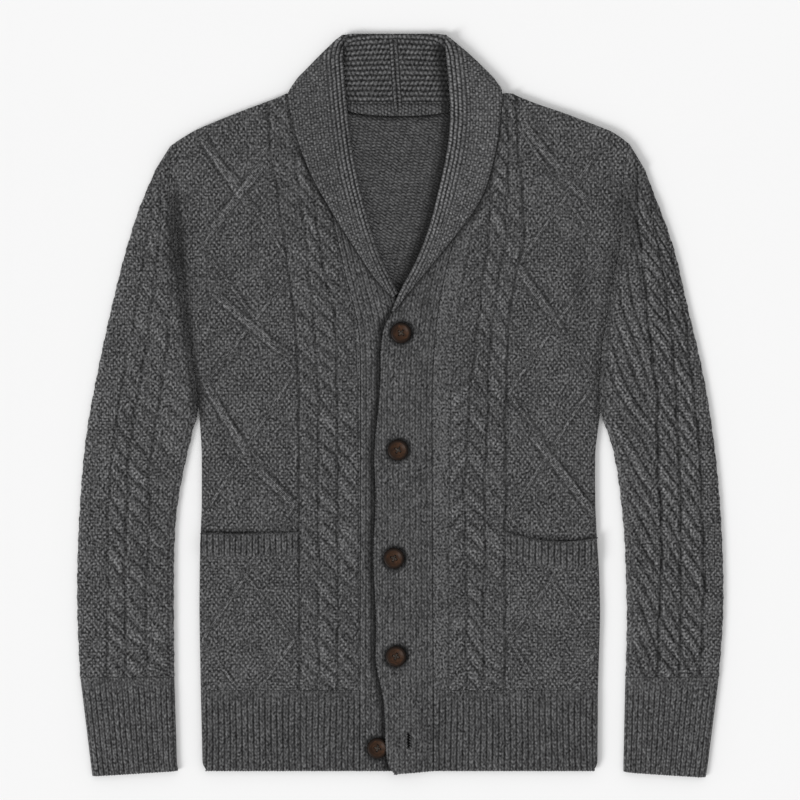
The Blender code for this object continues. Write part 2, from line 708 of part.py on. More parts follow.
def under_band_loop():
    edge = [(UNDER_EDGE, y) for y in (84, 0, -120, -250, HEM_END)]
    seam = np.vstack([[(-41.5, HEM_END)], seam_part("right", HEM_LINE, TUCK_TOP["right"])])
    return seamed(seam, tuck_line("right")[1:], edge)


def over_edge_line():
    points = [OVER_TIP] + [(x, y) for y, x in OVER_EDGE] + [OVER_BREAK]
    return smooth(points, 17.0)


def over_band_loop():
    seam = np.vstack([[(32.0, HEM_END)], seam_part("left", HEM_LINE, TUCK_TOP["left"])])
    return seamed(over_edge_line(), tuck_line("left")[::-1], seam[::-1])


LOOPS = {"back": back_loop(), "front_right": front_loop("right"), "front_left": front_loop("left"),
         "band_right": under_band_loop(), "band_left": over_band_loop(),
         "lapel_right": LAPEL_LOOPS["right"], "lapel_left": LAPEL_LOOPS["left"]}


def pocket_lines(side, places):
    """Lines down a pocket welt at places along its mouth, which sags in the middle."""
    sizes = POCKETS[side]
    (x0, x1), (first, middle, last), (depth0, depth1) = sizes["x"], sizes["top"], sizes["depth"]
    sag = middle - (first + last) / 2
    tops = first + (last - first) * places + 4 * sag * places * (1 - places)
    depths = depth0 + (depth1 - depth0) * places
    x = x0 + (x1 - x0) * places
    return np.stack([np.column_stack([x, tops - depths * down]) for down in (1.0, 0.5, 0.0)], axis=1)


def pocket_loop(side):
    lines = pocket_lines(side, np.linspace(0, 1, 9))
    return seamed(lines[:, 0], lines[-1:, 2], lines[::-1, 2])


# ---------------------------------------------------------------- the pieces
def make_back():
    loop = LOOPS["back"]
    edge = rounded([(np.vstack([loop, loop[:1]]), 0.7, 5.0)])
    top = lambda points: BACK_LEVEL + WALL - edge(points)
    panel("back", loop, top, flat_over(BACK_LEVEL), marks=rings_inside(loop, (5.0,), 32.0), swatch="inside")
    corners = [(-201.0, HEM_LINE), (199.5, HEM_LINE), (199.0, HEM_END + HEM_CORNER), (197.0, HEM_END + 2),
               (192.0, HEM_END), (-192.5, HEM_END), (-197.5, HEM_END + 2), (-199.5, HEM_END + HEM_CORNER)]
    panel("hem_back", seamed(corners), flat_over(BACK_LEVEL + WALL), flat_over(BACK_LEVEL), swatch="rib")


def make_front(side):
    loop = LOOPS[f"front_{side}"]
    lapel, pocket = LOOPS[f"lapel_{side}"], pocket_loop(side)
    lines = LINES[side]
    edge = rounded([(lines["armhole"], 2.0, 8.0), (lines["body"], 2.3, 8.0), (lines["shoulder"], 2.0, 10.0)])
    top = lambda points: FRONT_LEVEL + WALL - edge(points)
    ditches = DITCHES_RIGHT if side == "right" else DITCHES_LEFT
    edges = [at_height(ditches, column, side) for column in (1, 2, 3, 4)]
    top_y, bottom_y = 300.0, HEM_LINE + 4
    marks = []
    for outer, inner in zip(edges, edges[1:]):
        west, east = (outer, inner) if side == "right" else (inner, outer)
        marks += rope(west, east, top_y, bottom_y)
    marks += [ditch(line, top_y, bottom_y) for line in edges]
    beyond = lambda points: np.abs(points[:, 0]) > np.abs(edges[0](points[:, 1])) + 2.0
    lattice = LATTICE_RIGHT if side == "right" else LATTICE_LEFT
    marks += kept_runs([line for turns in lattice for line in ridge(turns)], beyond)
    marks += rings_inside(loop, (2.6, 8.0), 32.0) + dots(loop, 42.0)
    panel(f"front_{side}", loop, top, flat_over(FRONT_LEVEL), marks=marks, covers=[lapel, pocket])


def make_hem(side):
    sign = SIDES[side]
    stations = np.array([HEM_LINE, HEM_LINE - 6, HEM_END + HEM_CORNER, HEM_END])
    seam_x = sign * (41.5 if side == "right" else 32.0)
    side_x = sign * np.interp(stations, [HEM_END, HEM_LINE], [199.0, 201.0 if side == "right" else 199.5])
    outer = np.column_stack([side_x, stations])
    outer[-1, 0] -= sign * 4.0
    inner = np.column_stack([np.full(len(stations), seam_x), stations])
    places, rise = rib_profile(int(round(abs(side_x[0] - seam_x) / RIB_PITCH)), RIB)
    edge = rounded([(outer, 1.9, 7.0)])
    level = lambda points: FRONT_LEVEL + WALL - 0.4 - edge(points)
    ribbed_wall(f"hem_{side}", between(outer, inner, places), rise, level, flat_over(FRONT_LEVEL))


def sleeve_under(loop, folds):
    """Underside of a flattened tube: flat, and rounded up at its folded edges."""
    edge = rounded([(line, 2.2, 4.0) for line in folds])
    return lambda points: edge(points)


def make_sleeve(side):
    lines = LINES[side]
    inner, outer, armhole = lines["inner"], lines["outer"], lines["armhole"]
    loop = seamed(inner, armhole[1:], outer[::-1])
    nearest = lambda point: int(np.argmin(np.hypot(*(loop - point).T)))
    cuff_end = (nearest(inner[0]), nearest(outer[0]))
    armhole_end = (nearest(armhole[0]), nearest(armhole[-1]))
    loop, spans = with_open_ends(loop, [cuff_end, armhole_end])
    edge = rounded([(outer, 3.6, 11.0), (inner, 3.6, 11.0), (armhole, 2.4, 9.0)])
    top = lambda points: 2 * WALL + SLIT - edge(points)
    ditches = SLEEVE_DITCHES_RIGHT if side == "right" else SLEEVE_DITCHES_LEFT
    edges = [at_height(ditches, column, side) for column in (1, 2, 3)]
    top_y, bottom_y = 205.0, CUFF_LINE + 3
    marks = []
    for first, second in zip(edges, edges[1:]):
        west, east = (first, second) if side == "right" else (second, first)
        marks += rope(west, east, top_y, bottom_y)
    marks += [ditch(line, top_y, bottom_y) for line in edges]
    marks += sleeve_braid(side, edges, bottom_y)
    marks += rings_inside(loop, (2.6, 7.5), 32.0) + dots(loop, 30.0)
    under = sleeve_under(loop, [inner, outer])
    flat_tube(f"sleeve_{side}", loop, spans, top, under, top_marks=marks,
              under_marks=rings_inside(loop, (3.0,), 32.0))


def sleeve_braid(side, edges, bottom_y):
    """The wide braid between the innermost ditch and the sleeve's inner edge."""
    heights = [row[0] for row in SLEEVE_INNER[2:-1]] + [row[0] for row in ARMHOLE]
    column = COLUMN[side]
    distances = [row[column] for row in SLEEVE_INNER[2:-1]] + [row[column] for row in ARMHOLE]
    border = lambda y: SIDES[side] * (np.interp(y, heights, distances) + 5.0)
    west, east = (edges[2], border) if side == "right" else (border, edges[2])
    lean = 16.0 if side == "right" else 42.0
    return rope(west, east, 190.0, bottom_y, lean=lean, height=0.8 * CABLE, stations=4, between=2)


def with_open_ends(loop, ends):
    """Adds the vertices, one fold's width from each corner, where a tube's slit begins and ends."""
    count = len(loop)
    added = {}
    spans = []
    for first, last in ends:
        forward = (last - first) % count
        if forward > count / 2:
            first, last = last, first
        added[first] = (first, (first + 1) % count)
        added[last] = ((last - 1) % count, last)
        spans.append((first, last))
    result, position = [], {}
    for i in range(count):
        follows = next((f for f, l in spans if f == i), None)
        leads = next((l for f, l in spans if l == i), None)
        if leads is not None:
            position[("last", i)] = len(result)
            result.append(toward(loop[i], loop[i - 1], FOLD))
        result.append(loop[i])
        if follows is not None:
            position[("first", i)] = len(result)
            result.append(toward(loop[i], loop[(i + 1) % count], FOLD))
    return np.array(result), [(position[("first", f)], position[("last", l)]) for f, l in spans]


def toward(start, end, distance):
    run = end - start
    return start + run * min(0.45, distance / np.hypot(*run))


def make_cuff(side):
    lines = LINES[side]
    stations = np.array([0.0, 0.08, 0.92, 1.0])
    rails = []
    for line, end in ((lines["cuff_outer"], CUFF_END_OUTER), (lines["cuff_inner"], CUFF_END_INNER)):
        heights = CUFF_LINE + (end - CUFF_LINE) * stations
        rails.append(np.column_stack([np.interp(heights, line[:, 1], line[:, 0]), heights]))
    outer, inner = rails
    places, rise = rib_profile(int(round(abs(outer[0, 0] - inner[0, 0]) / RIB_PITCH)), RIB)
    edge = rounded([(outer, 3.4, 10.0), (inner, 3.4, 10.0)])
    level = lambda points: 2 * WALL + SLIT - 0.5 - edge(points)
    solid, ring, loop = ribbed_top(between(outer, inner, places), rise, level)
    closed_cuff(f"cuff_{side}", solid, ring, loop, [outer, inner])


def closed_cuff(name, solid, ring, loop, folds):
    """Closes a cuff round its slit, which stays open at both of its ends."""
    under = sleeve_under(loop, folds)
    ring_marks = kept_runs(rings_inside(loop, (3.0,), 16.0), lambda points: reach(points, loop) > 1.0)
    coords, _, faces, (rim,) = triangulated(loop, ring_marks)
    number = solid.surface(coords, under(coords), faces)
    lower = [number[i] for i in rim]
    fold_distance = np.minimum(*(distance_to(loop, fold) for fold in folds))
    is_open = fold_distance > FOLD
    count = len(loop)
    slit_points = [i for i in range(count) if is_open[i]]
    rings = []
    for level in (WALL + SLIT, WALL):
        coords, _, faces, (rim,) = triangulated(loop[slit_points], ())
        number = solid.surface(coords, np.full(len(coords), level), faces)
        rings.append({i: number[k] for i, k in zip(slit_points, rim)})
    high, low = rings
    for i in range(count):
        j = (i + 1) % count
        if is_open[i] and is_open[j]:
            solid.faces += [(ring[i], ring[j], high[j], high[i]), (low[i], low[j], lower[j], lower[i])]
        else:
            middle_i = [low[i], high[i]] if is_open[i] else []
            middle_j = [high[j], low[j]] if is_open[j] else []
            solid.faces.append(tuple([ring[i], ring[j]] + middle_j + [lower[j], lower[i]] + middle_i))
    for a, b in zip(slit_points, slit_points[1:] + slit_points[:1]):
        if (b - a) % count != 1:
            solid.faces.append((high[a], high[b], low[b], low[a]))
    solid.make(name, "rib")


def make_under_band():
    loop = LOOPS["band_right"]
    lapel, over = LOOPS["lapel_right"], LOOPS["band_left"]
    top = flat_over(FRONT_LEVEL + WALL)
    seam = seam_part("right", HEM_LINE, TUCK_TOP["right"])
    seam = np.vstack([[(-41.5, HEM_END + 3)], seam])
    ribs = ribs_along(smooth(seam, 40.0), -1.2, 6, -RIB_PITCH, RIB * 0.8)
    covers = [lapel, over, circle(*BUTTONS[4], BUTTON_RADIUS + 0.6)]
    panel("band_right", loop, top, flat_over(FRONT_LEVEL), marks=ribs, covers=covers, swatch="rib")


def over_top(points):
    """Top of the over band, without ribs: high over the under band, ramped down to the front."""
    share = np.clip((RAMP[1] - points[:, 0]) / (RAMP[1] - RAMP[0]), 0, 1)
    return FRONT_LEVEL + WALL + LAYER * share


def button_lift(points):
    """The over band's edge rides up over the undone button beneath it."""
    x, y = BUTTONS[4]
    away = np.hypot(points[:, 0] - x, points[:, 1] - y)
    t = np.clip((30.0 - away) / (30.0 - 13.0), 0, 1)
    return (BUTTON_THICKNESS + GAP) * t * t * (3 - 2 * t)


def make_over_band():
    loop, lapel = LOOPS["band_left"], LOOPS["lapel_left"]
    edge = rounded([(over_edge_line(), 1.5, 6.0)])
    fall = lambda points: np.where(reach(points, lapel) > -0.6, 0, edge(points))
    top = lambda points: over_top(points) + button_lift(points) - fall(points)
    beneath_it = LOOPS["band_right"].copy()
    beneath_it[beneath_it[:, 1] < HEM_END + 1, 1] -= 10.0
    base, steps = under_pieces([(beneath_it, flat_over(OVER_LEVEL))], FRONT_LEVEL)
    under = lambda points: base(points) + button_lift(points)
    slot = slot_loop(**BUTTONHOLE)
    seam = np.vstack([[(32.0, HEM_END + 3)], seam_part("left", HEM_LINE, TUCK_TOP["left"])])
    ribs = ribs_along(smooth(seam, 36.0), 1.2, 9, RIB_PITCH, RIB * 0.75)
    creases = [mark([(x, HEM_END - 10), (x, 250)]) for x in RAMP]
    clear_of_slot = lambda points: points[:, 0] < BUTTONHOLE["x"] - BUTTONHOLE["width"]
    arcs = kept_runs([mark(circle(*BUTTONS[4], radius, 20)) for radius in (13.0, 20.0, 28.0)], clear_of_slot)
    covers = [lapel] + [circle(x, y, BUTTON_RADIUS + 0.6) for x, y in BUTTONS[:4]]
    panel("band_left", loop, top, under, marks=arcs + ribs + rings_inside(loop, (2.4,), 16.0), covers=covers,
          creases=creases, steps=steps + arcs, holes=[slot], swatch="rib")


def slot_loop(x, y, width, length):
    """A buttonhole's outline: a narrow slot with round ends, along the band."""
    half, straight = width / 2, (length - width) / 2
    angles = np.linspace(0, math.pi, 4)
    upper = [(x + half * math.cos(a), y + straight + half * math.sin(a)) for a in angles]
    lower = [(x - half * math.cos(a), y - straight - half * math.sin(a)) for a in angles]
    return np.array(upper + lower)


def make_lapel(side):
    loop = LOOPS[f"lapel_{side}"]
    roll, free = LAPEL_LINES[side]
    outline = free[free[:, 1] > 314.0]
    lifted = side == "left"
    rest = (lambda points: over_top(points) + GAP) if lifted else flat_over(OVER_LEVEL)
    pieces = [(LOOPS["back"], flat_over(FRONT_LEVEL)), (LOOPS[f"front_{side}"], flat_over(OVER_LEVEL)),
              (LOOPS["band_right"], flat_over(OVER_LEVEL)), (LOOPS[f"band_{side}"], rest)]
    base, steps = under_pieces(pieces, BACK_LEVEL)
    turn = rounded([(outline, 3.0, 5.0)])
    under = lambda points: base(points) + np.where(base(points) < 0.1, turn(points), 0)
    raised = (lambda points: over_top(points) - FRONT_LEVEL - WALL) if lifted else flat_over(0.0)
    edge = rounded([(roll, 2.6, 8.0), (free[free[:, 1] <= 318.0], 1.6, 5.0), (outline, 6.0, 13.0)])
    top = lambda points: LAPEL_HEIGHT + raised(points) - edge(points)
    sign = 1 if side == "right" else -1
    ribs = []
    for index in range(6):
        height = RIB * (1.1 - 0.14 * index)
        ribs += ribs_along(roll, -sign * (4.0 + index * COLLAR_PITCH), 1, -sign * COLLAR_PITCH, height)
    creases = [mark([(x, 60), (x, 250)]) for x in RAMP] if lifted else []
    marks = ribs + rings_inside(loop, (2.6, 8.0), 16.0) + dots(loop, 18.0)
    panel(f"lapel_{side}", loop, top, under, marks=marks, steps=steps + creases, swatch="rib")


def make_collar(side):
    """One half of the collar's back stand, whose ribs run round the neck."""
    roll = np.array(ROLL_RIGHT if side == "right" else ROLL_LEFT)[::-1]
    (seam_top_x, seam_top_y), (seam_low_x, seam_low_y) = COLLAR_SEAM
    stations = np.linspace(0, 1, 5)
    neck = LINES[side]["neck"] if side == "right" else LINES[side]["neck"][::-1]
    reach_x = np.interp(NECK_BOTTOM + 3, roll[:, 1], roll[:, 0])
    low = np.interp(reach_x + (seam_low_x - reach_x) * stations, neck[:, 0], neck[:, 1])
    edging = NECK_BOTTOM + COLLAR_EDGING
    places, rise = rib_profile(int(round((COLLAR_TOP - edging) / COLLAR_PITCH)), RIB)
    heights = [low] + [np.full(5, edging + place * (COLLAR_TOP - edging)) for place in places]
    lines = []
    for y in heights:
        roll_x = np.interp(y, roll[:, 1], roll[:, 0])
        seam_x = np.interp(y, [seam_low_y, seam_top_y], [seam_low_x, seam_top_x])
        lines.append(np.column_stack([roll_x + (seam_x - roll_x) * stations, y]))
    top_edge = np.array([(-70.0, COLLAR_TOP), (60.0, COLLAR_TOP)])
    bend, turn = rounded([(top_edge, 2.6, 8.0)]), rounded([(top_edge, 2.4, 4.0)])
    level = lambda points: COLLAR_HEIGHT - bend(points)
    ribbed_wall(f"collar_{side}", np.array(lines), np.concatenate([[0.4], rise]), level, turn)


def make_pocket(side):
    start, end = POCKETS[side]["x"]
    places, rise = rib_profile(int(round((end - start) / WELT_PITCH)), 0.8 * RIB)
    ribbed_wall(f"pocket_{side}", pocket_lines(side, places), rise,
                flat_over(OVER_LEVEL + WALL - 0.8), flat_over(OVER_LEVEL))


def make_button(index, x, y, level):
    """A turned button with a raised rim round its dish."""
    r, t = BUTTON_RADIUS, BUTTON_THICKNESS
    profile = ((0.0, 0.62 * t), (0.55 * r, 0.66 * t), (0.72 * r, t), (0.90 * r, 0.97 * t),
               (r, 0.62 * t), (0.96 * r, 0.2 * t), (0.80 * r, 0.0), (0.0, 0.0))
    mesh = bpy.data.meshes.new(f"button_{index}")
    edges = [(i, i + 1) for i in range(len(profile) - 1)]
    mesh.from_pydata([(px * MM, 0, pz * MM) for px, pz in profile], edges, [])
    obj = bpy.data.objects.new(f"button_{index}", mesh)
    PARTS.objects.link(obj)
    screw = obj.modifiers.new("turned", "SCREW")
    screw.steps = screw.render_steps = BUTTON_STEPS
    screw.use_merge_vertices = True
    screw.merge_threshold = 0.00001
    screw.use_smooth_shade = True
    obj.location = (x * MM, (y + Y_SHIFT) * MM, level * MM)
    mesh.materials.append(material(f"button_{index}", BUTTON_BROWN, BUTTON_ROUGHNESS))


def make_buttons():
    for number, (x, y) in enumerate(BUTTONS, 1):
        level = over_top(np.array([(x, y)]))[0] + GAP if number < 5 else OVER_LEVEL
        make_button(number, x, y, level)


for old in list(bpy.data.objects):
    bpy.data.objects.remove(old, do_unlink=True)
PARTS = bpy.data.collections.new("cable_knit_cardigan")
bpy.context.scene.collection.children.link(PARTS)

make_back()
for name in SIDES:
    make_front(name)
    make_hem(name)
    make_sleeve(name)
    make_cuff(name)
    make_lapel(name)
    make_collar(name)
    make_pocket(name)
make_under_band()
make_over_band()
make_buttons()
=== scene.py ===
"""Cable knit cardigan with a shawl collar, lying flat: its knit, buttons, sewing, floor and light.

Tables and sizes inside the script are in millimetres in the frame's axes: X towards the wearer's
left, Y towards the collar, Z up. `MM` turns them into metres when a mesh is made. Right and left
are the wearer's; a piece's outer side is away from the middle of the body, its inner side towards it.
"""
import math

import bpy
import numpy as np
from bpy.props import FloatProperty, FloatVectorProperty, IntProperty, PointerProperty
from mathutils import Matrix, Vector
from mathutils.bvhtree import BVHTree


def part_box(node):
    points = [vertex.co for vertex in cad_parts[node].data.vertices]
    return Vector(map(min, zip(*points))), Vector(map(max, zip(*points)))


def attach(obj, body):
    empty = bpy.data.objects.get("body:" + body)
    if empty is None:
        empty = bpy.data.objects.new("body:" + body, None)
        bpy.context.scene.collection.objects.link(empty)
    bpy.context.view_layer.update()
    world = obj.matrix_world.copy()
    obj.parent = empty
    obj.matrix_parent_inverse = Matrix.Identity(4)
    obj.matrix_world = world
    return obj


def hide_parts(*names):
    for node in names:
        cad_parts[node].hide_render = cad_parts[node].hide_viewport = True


bl_info = {
    "name": "Cable Knit Cardigan",
    "version": (1, 0, 0),
    "blender": (4, 5, 0),
    "location": "3D View > Sidebar > Cardigan",
    "description": "Knits, sews and lights a cable knit cardigan over its packed frame",
    "category": "Object",
}

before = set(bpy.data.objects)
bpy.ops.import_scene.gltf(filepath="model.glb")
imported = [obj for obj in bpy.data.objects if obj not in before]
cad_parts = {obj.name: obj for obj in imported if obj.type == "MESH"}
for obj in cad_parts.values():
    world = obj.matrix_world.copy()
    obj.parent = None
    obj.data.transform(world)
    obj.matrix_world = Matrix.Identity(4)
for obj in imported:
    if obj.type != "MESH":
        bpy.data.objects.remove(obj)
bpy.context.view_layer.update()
MM = 0.001
SIDES = {"right": -1, "left": 1}

# ---------------------------------------------------------------- levels of the cloth
WALL = 3.2                  # top of a sleeve's lower wall, where the slit through it begins
BACK_TOP = 3.2
FRONT_TOP = 6.7
HEM_TOP = 6.3
OVER_TOP = 10.2             # over band, where it lies on the under band
RAMP = (13.0, 31.0)         # between these it comes down to the front beside it
SLEEVE_TOP = 7.4
CUFF_TOP = 6.9
LAPEL_TOP = 10.4
COLLAR_TOP = 6.4
WELT_TOP = 8.9
TUCK = 1.1                  # how far the underside of a piece is drawn in from its border
BUTTONS = ((-0.5, 73.0), (-3.5, -44.0), (-7.5, -152.0), (-5.5, -250.0), (-24.0, -342.0))
BUTTON_RADIUS, BUTTON_THICKNESS = 10.3, 3.8
BUTTONHOLE = (7.0, -334.0, 3.4, 16.0)   # middle, width and length
CUFF_LEVEL = 4.3            # faces above these heights are the upper ones of a cuff and a sleeve
SLEEVE_LEVEL = 4.6

# ---------------------------------------------------------------- sizes of the knitting
TURN = 2 * math.pi
ROPE_PITCH = 19.5           # height between the crossings of a cable
HEM_RIB, CUFF_RIB, BAND_RIB = 5.9, 5.3, 5.6
WELT_RIB = {"right": 5.7, "left": 6.2}
LAPEL_BEAD = 3.7            # length of a stitch along the ribs of a lapel
MOSS_SCALE = 1.3            # how much closer the seeds of moss stitch stand than plain stitches
# Cables of the fronts, outermost first: share of the full height, and how far a strand runs down.
FRONT_ROPES = {"right": ((0.6, 23.0), (1.1, 23.0), (0.9, 24.0)),
               "left": ((0.7, 22.0), (1.0, 23.0), (0.8, -18.0))}
# Sleeves: run and painted shade of the two narrow cables; height, pitch, run and painted shade of the braid
# beside them; depth and painted shade of each ditch.
SLEEVE_ROPES = {"right": (23.0, 0.28, 0.7, ROPE_PITCH, 0.9, 0.22, ((1.0, 0.3),) * 3),
                "left": (38.0, 0.5, 0.9, 26.0, 2.5, 0.55, ((1.3, 0.5), (1.3, 0.5), (1.9, 0.62)))}

# ---------------------------------------------------------------- the pieces' plans
# Corners of each piece: south-west, south-east, north-east and north-west.
CORNERS = {
    "back": ((-201, -284), (199.5, -284), (227.5, 263), (-232.5, 263)),
    "hem_back": ((-192.5, -365), (192, -365), (199.5, -284), (-201, -284)),
    "front_right": ((-201, -284), (-41.5, -284), (-95, 309), (-115, 311.5)),
    "front_left": ((32, -284), (199.5, -284), (112, 311.5), (93, 309)),
    "hem_right": ((-195, -365), (-41.5, -365), (-41.5, -284), (-201, -284)),
    "hem_left": ((32, -365), (195, -365), (199.5, -284), (32, -284)),
    "sleeve_right": ((-322.3, -271), (-225, -271), (-232.5, 263), (-246.5, 236)),
    "sleeve_left": ((224, -271), (321, -271), (246.5, 236), (227.5, 263)),
    "cuff_right": ((-309.5, -370.5), (-223, -365), (-225, -271), (-322.3, -271)),
    "cuff_left": ((222, -365), (304.5, -370.5), (321, -271), (224, -271)),
    "band_right": ((-41.5, -365), (12, -365), (-60, 189), (-72.7, 209)),
    "band_left": ((-6.5, -368), (32, -365), (57.8, 183), (45, 168)),
    "lapel_right": ((-9, 108.5), (-2.9, 113), (-58.5, 370.5), (-66.5, 367)),
    "lapel_left": ((-10.3, 94.5), (-6, 95), (53.5, 367), (44, 370.5)),
    "collar_right": ((-53.5, 294), (-3, 290), (-8.5, 370.5), (-58.5, 370.5)),
    "collar_left": ((-3, 290), (48, 294), (44, 370.5), (-8.5, 370.5)),
    "pocket_right": ((-200, -150.5), (-102.5, -149.5), (-102.5, -125.5), (-200, -126.5)),
    "pocket_left": ((103, -150), (198, -163.5), (198, -131.5), (103, -125)),
}
# Where a piece's grid is drawn a little way over: spot, shift and radius.
NUDGES = {
    "front_right": ((-113, 311), (0, 1.2), 7.0), "front_left": ((103, 311), (0, 2.6), 8.0),
    "lapel_right": ((-112, 320), (2.6, 0.6), 9.0), "lapel_left": ((101, 318), (-3.2, 0.6), 9.0),
    "collar_right": ((-58.5, 368), (-2.0, 0), 6.0), "collar_left": ((44, 368), (2.0, 0), 6.0),
    "pocket_right": ((-200, -139), (-1.4, 0), 9.0), "pocket_left": ((198, -146), (0.8, 0), 9.0),
}
# Inner line of the collar's topmost row of knitting, which bends down into both rolls.
TOP_ROW = ((-58.0, 350.0), (-56.0, 357.5), (-51.5, 362.8), (-44.0, 365.6), (-30.0, 366.6), (-7.0, 367.2),
           (18.0, 366.6), (30.0, 365.6), (37.5, 362.8), (42.0, 357.5), (44.0, 350.0))

# ---------------------------------------------------------------- where the knitting changes
# Ditches beside the cables: height, then distances from the centre line, outermost first.
DITCHES = {
    "front_right": ((-284, 101.5, 83.5, 63.5, 42.5), (16, 102.5, 83.0, 64.0, 43.5),
                    (91, 106.5, 88.0, 67.0, 48.0), (136, 113.0, 93.5, 77.5, 59.0),
                    (181, 119.5, 96.0, 84.5, 68.0), (223, 125.0, 103.5, 90.0, 76.0),
                    (258, 131.5, 107.0, 94.0, 82.0), (301, 134.0, 112.0, 98.0, 86.0)),
    "front_left": ((-284, 103.0, 81.0, 65.5, 47.0), (-110, 103.3, 83.5, 64.0, 47.5),
                   (-84, 103.5, 83.0, 62.5, 48.0), (16, 104.0, 86.5, 69.0, 49.5),
                   (81, 106.5, 90.5, 75.5, 55.0), (126, 112.5, 96.5, 82.0, 62.0),
                   (166, 122.5, 104.5, 87.0, 69.0), (223, 120.0, 106.5, 89.5, 76.0),
                   (258, 116.0, 106.5, 91.0, 80.0), (301, 114.0, 105.0, 93.0, 84.0)),
    "sleeve_right": ((-271, 293.5, 276.0, 255.5), (-169, 294.0, 276.5, 255.0),
                     (-114, 293.0, 275.5, 252.5), (-55, 290.0, 273.0, 251.5),
                     (6, 281.5, 264.5, 242.5), (68, 271.0, 254.0, 233.0),
                     (131, 259.0, 245.0, 229.5), (191, 250.0, 240.5, 232.0)),
    "sleeve_left": ((-271, 299.0, 278.0, 255.0), (-179, 302.0, 279.5, 259.5),
                    (-114, 301.0, 279.5, 259.5), (-49, 298.0, 277.5, 256.5),
                    (16, 292.0, 274.5, 255.0), (81, 283.5, 268.5, 247.5),
                    (130, 275.0, 263.0, 242.0), (191, 259.5, 250.0, 236.0)),
}
# Travelling stitches of the lattice: turning points of two crossing zigzags on each front.
LATTICE = {
    "front_right": (((-197, 259), (-166, 229), (-107, 136), (-199, 19), (-107, -99), (-199, -234),
                     (-168, -277)),
                    ((-117, 286), (-199, 159), (-107, 34), (-199, -111), (-107, -234), (-138, -277))),
    "front_left": (((108, 293), (203, 151), (107, 13), (195, -109), (108, -234), (136, -277)),
                   ((199, 257), (118, 144), (194, 26), (108, -109), (196, -244), (168, -277))),
}
# Where the finished outline lies a little inside or outside the solids': pieces, line, shift, and how
# far from the line it fades.
TRIMS = (
    (("back", "hem_back", "front_left", "hem_left", "pocket_left"),
     ((198, -32), (197, -200), (198, -368)), (-2.9, 0), 26),
    (("back", "front_left"), ((140, 303), (172, 292), (203, 279)), (-0.6, -2.6), 18),
    (("back", "front_right"), ((-200, -32), (-200, -112)), (1.2, 0), 24),
    (("back", "front_right", "sleeve_right"), ((-232, 262), (-231, 264)), (1.9, -1.9), 20),
    (("sleeve_left", "cuff_left"),
     ((248, 229), (267, 181), (281, 131), (293, 81), (303, 36), (315, -40), (323, -150), (321, -270),
      (317, -296)), (-3.3, 0), 24),
    (("sleeve_left",), ((205, -40), (222, -150)), (1.2, 0), 24),
    (("cuff_left",), ((226, -366), (302, -372)), (0, -1.4), 8),
    (("sleeve_right", "cuff_right"), ((-206, -20), (-226, -110), (-229, -250), (-226, -350)), (-2.4, 0), 20),
    (("sleeve_right", "cuff_right"), ((-270, 180), (-311, 0), (-325, -180), (-318, -300)), (0.6, 0), 20),
    (("lapel_left",), ((56, 364), (80, 345), (97, 327)), (-1.8, -1.6), 16),
    (("band_left",), ((-24, 30), (-25, -14), (-29.5, -174), (-26, -230)), (1.9, 0), 22),
    (("lapel_right",), ((-84, 352), (-70, 362)), (1.0, -1.0), 14),
)
# Painted shade beside an armhole at these heights: strength and reach of the near shade, then of the far one.
ARMHOLE_HEIGHTS = (-14, 16, 56, 106, 144, 174, 204, 232)
ARMHOLES = {
    "right": ((0.74, 0.76, 0.7, 0.68, 0.72, 0.76, 0.6, 0.0), (4.5, 4.5, 4.5, 4.5, 6.0, 7.0, 6.0, 4.0),
              (0.3, 0.44, 0.46, 0.5, 0.6, 0.55, 0.36, 0.0), (6.0, 8.0, 8.0, 11.0, 14.0, 14.0, 10.0, 6.0)),
    "left": ((0.5, 0.42, 0.3, 0.3, 0.3, 0.32, 0.3, 0.0), (5.0, 5.0, 5.0, 6.0, 8.0, 9.0, 8.0, 5.0),
             (0.2, 0.2, 0.15, 0.15, 0.2, 0.34, 0.4, 0.0), (7.0, 8.0, 9.0, 11.0, 12.0, 16.0, 17.0, 9.0)),
}
# Painted light (negative strength) and painted shade over broad areas such as folds: piece, middle, half width, half
# height and strength.
PAINTED_AREAS = (
    ("front_left", 180, 121, 11, 46, 0.18), ("front_right", -120, 212, 9, 40, 0.13),
    ("sleeve_right", -236, -114, 10, 20, 0.18), ("sleeve_left", 228, 190, 12, 34, 0.2),
    ("lapel_right", -40, 205, 14, 60, -0.2), ("lapel_left", 30, 200, 14, 50, -0.1),
)
# Stretches of the lattice given a painted highlight, with painted shade beside it: start and end.
LATTICE_HIGHLIGHTS = {
    "front_right": (((-200, 268), (-156, 204)), ((-140, 240), (-190, 176)), ((-187, 112), (-121, 55)),
                    ((-196, 22), (-155, -48)), ((-145, -62), (-108, -98))),
    "front_left": (((122, 281), (158, 236)), ((166, 226), (186, 205)), ((133, -32), (194, -110)),
                   ((108, 150), (146, 96))),
}
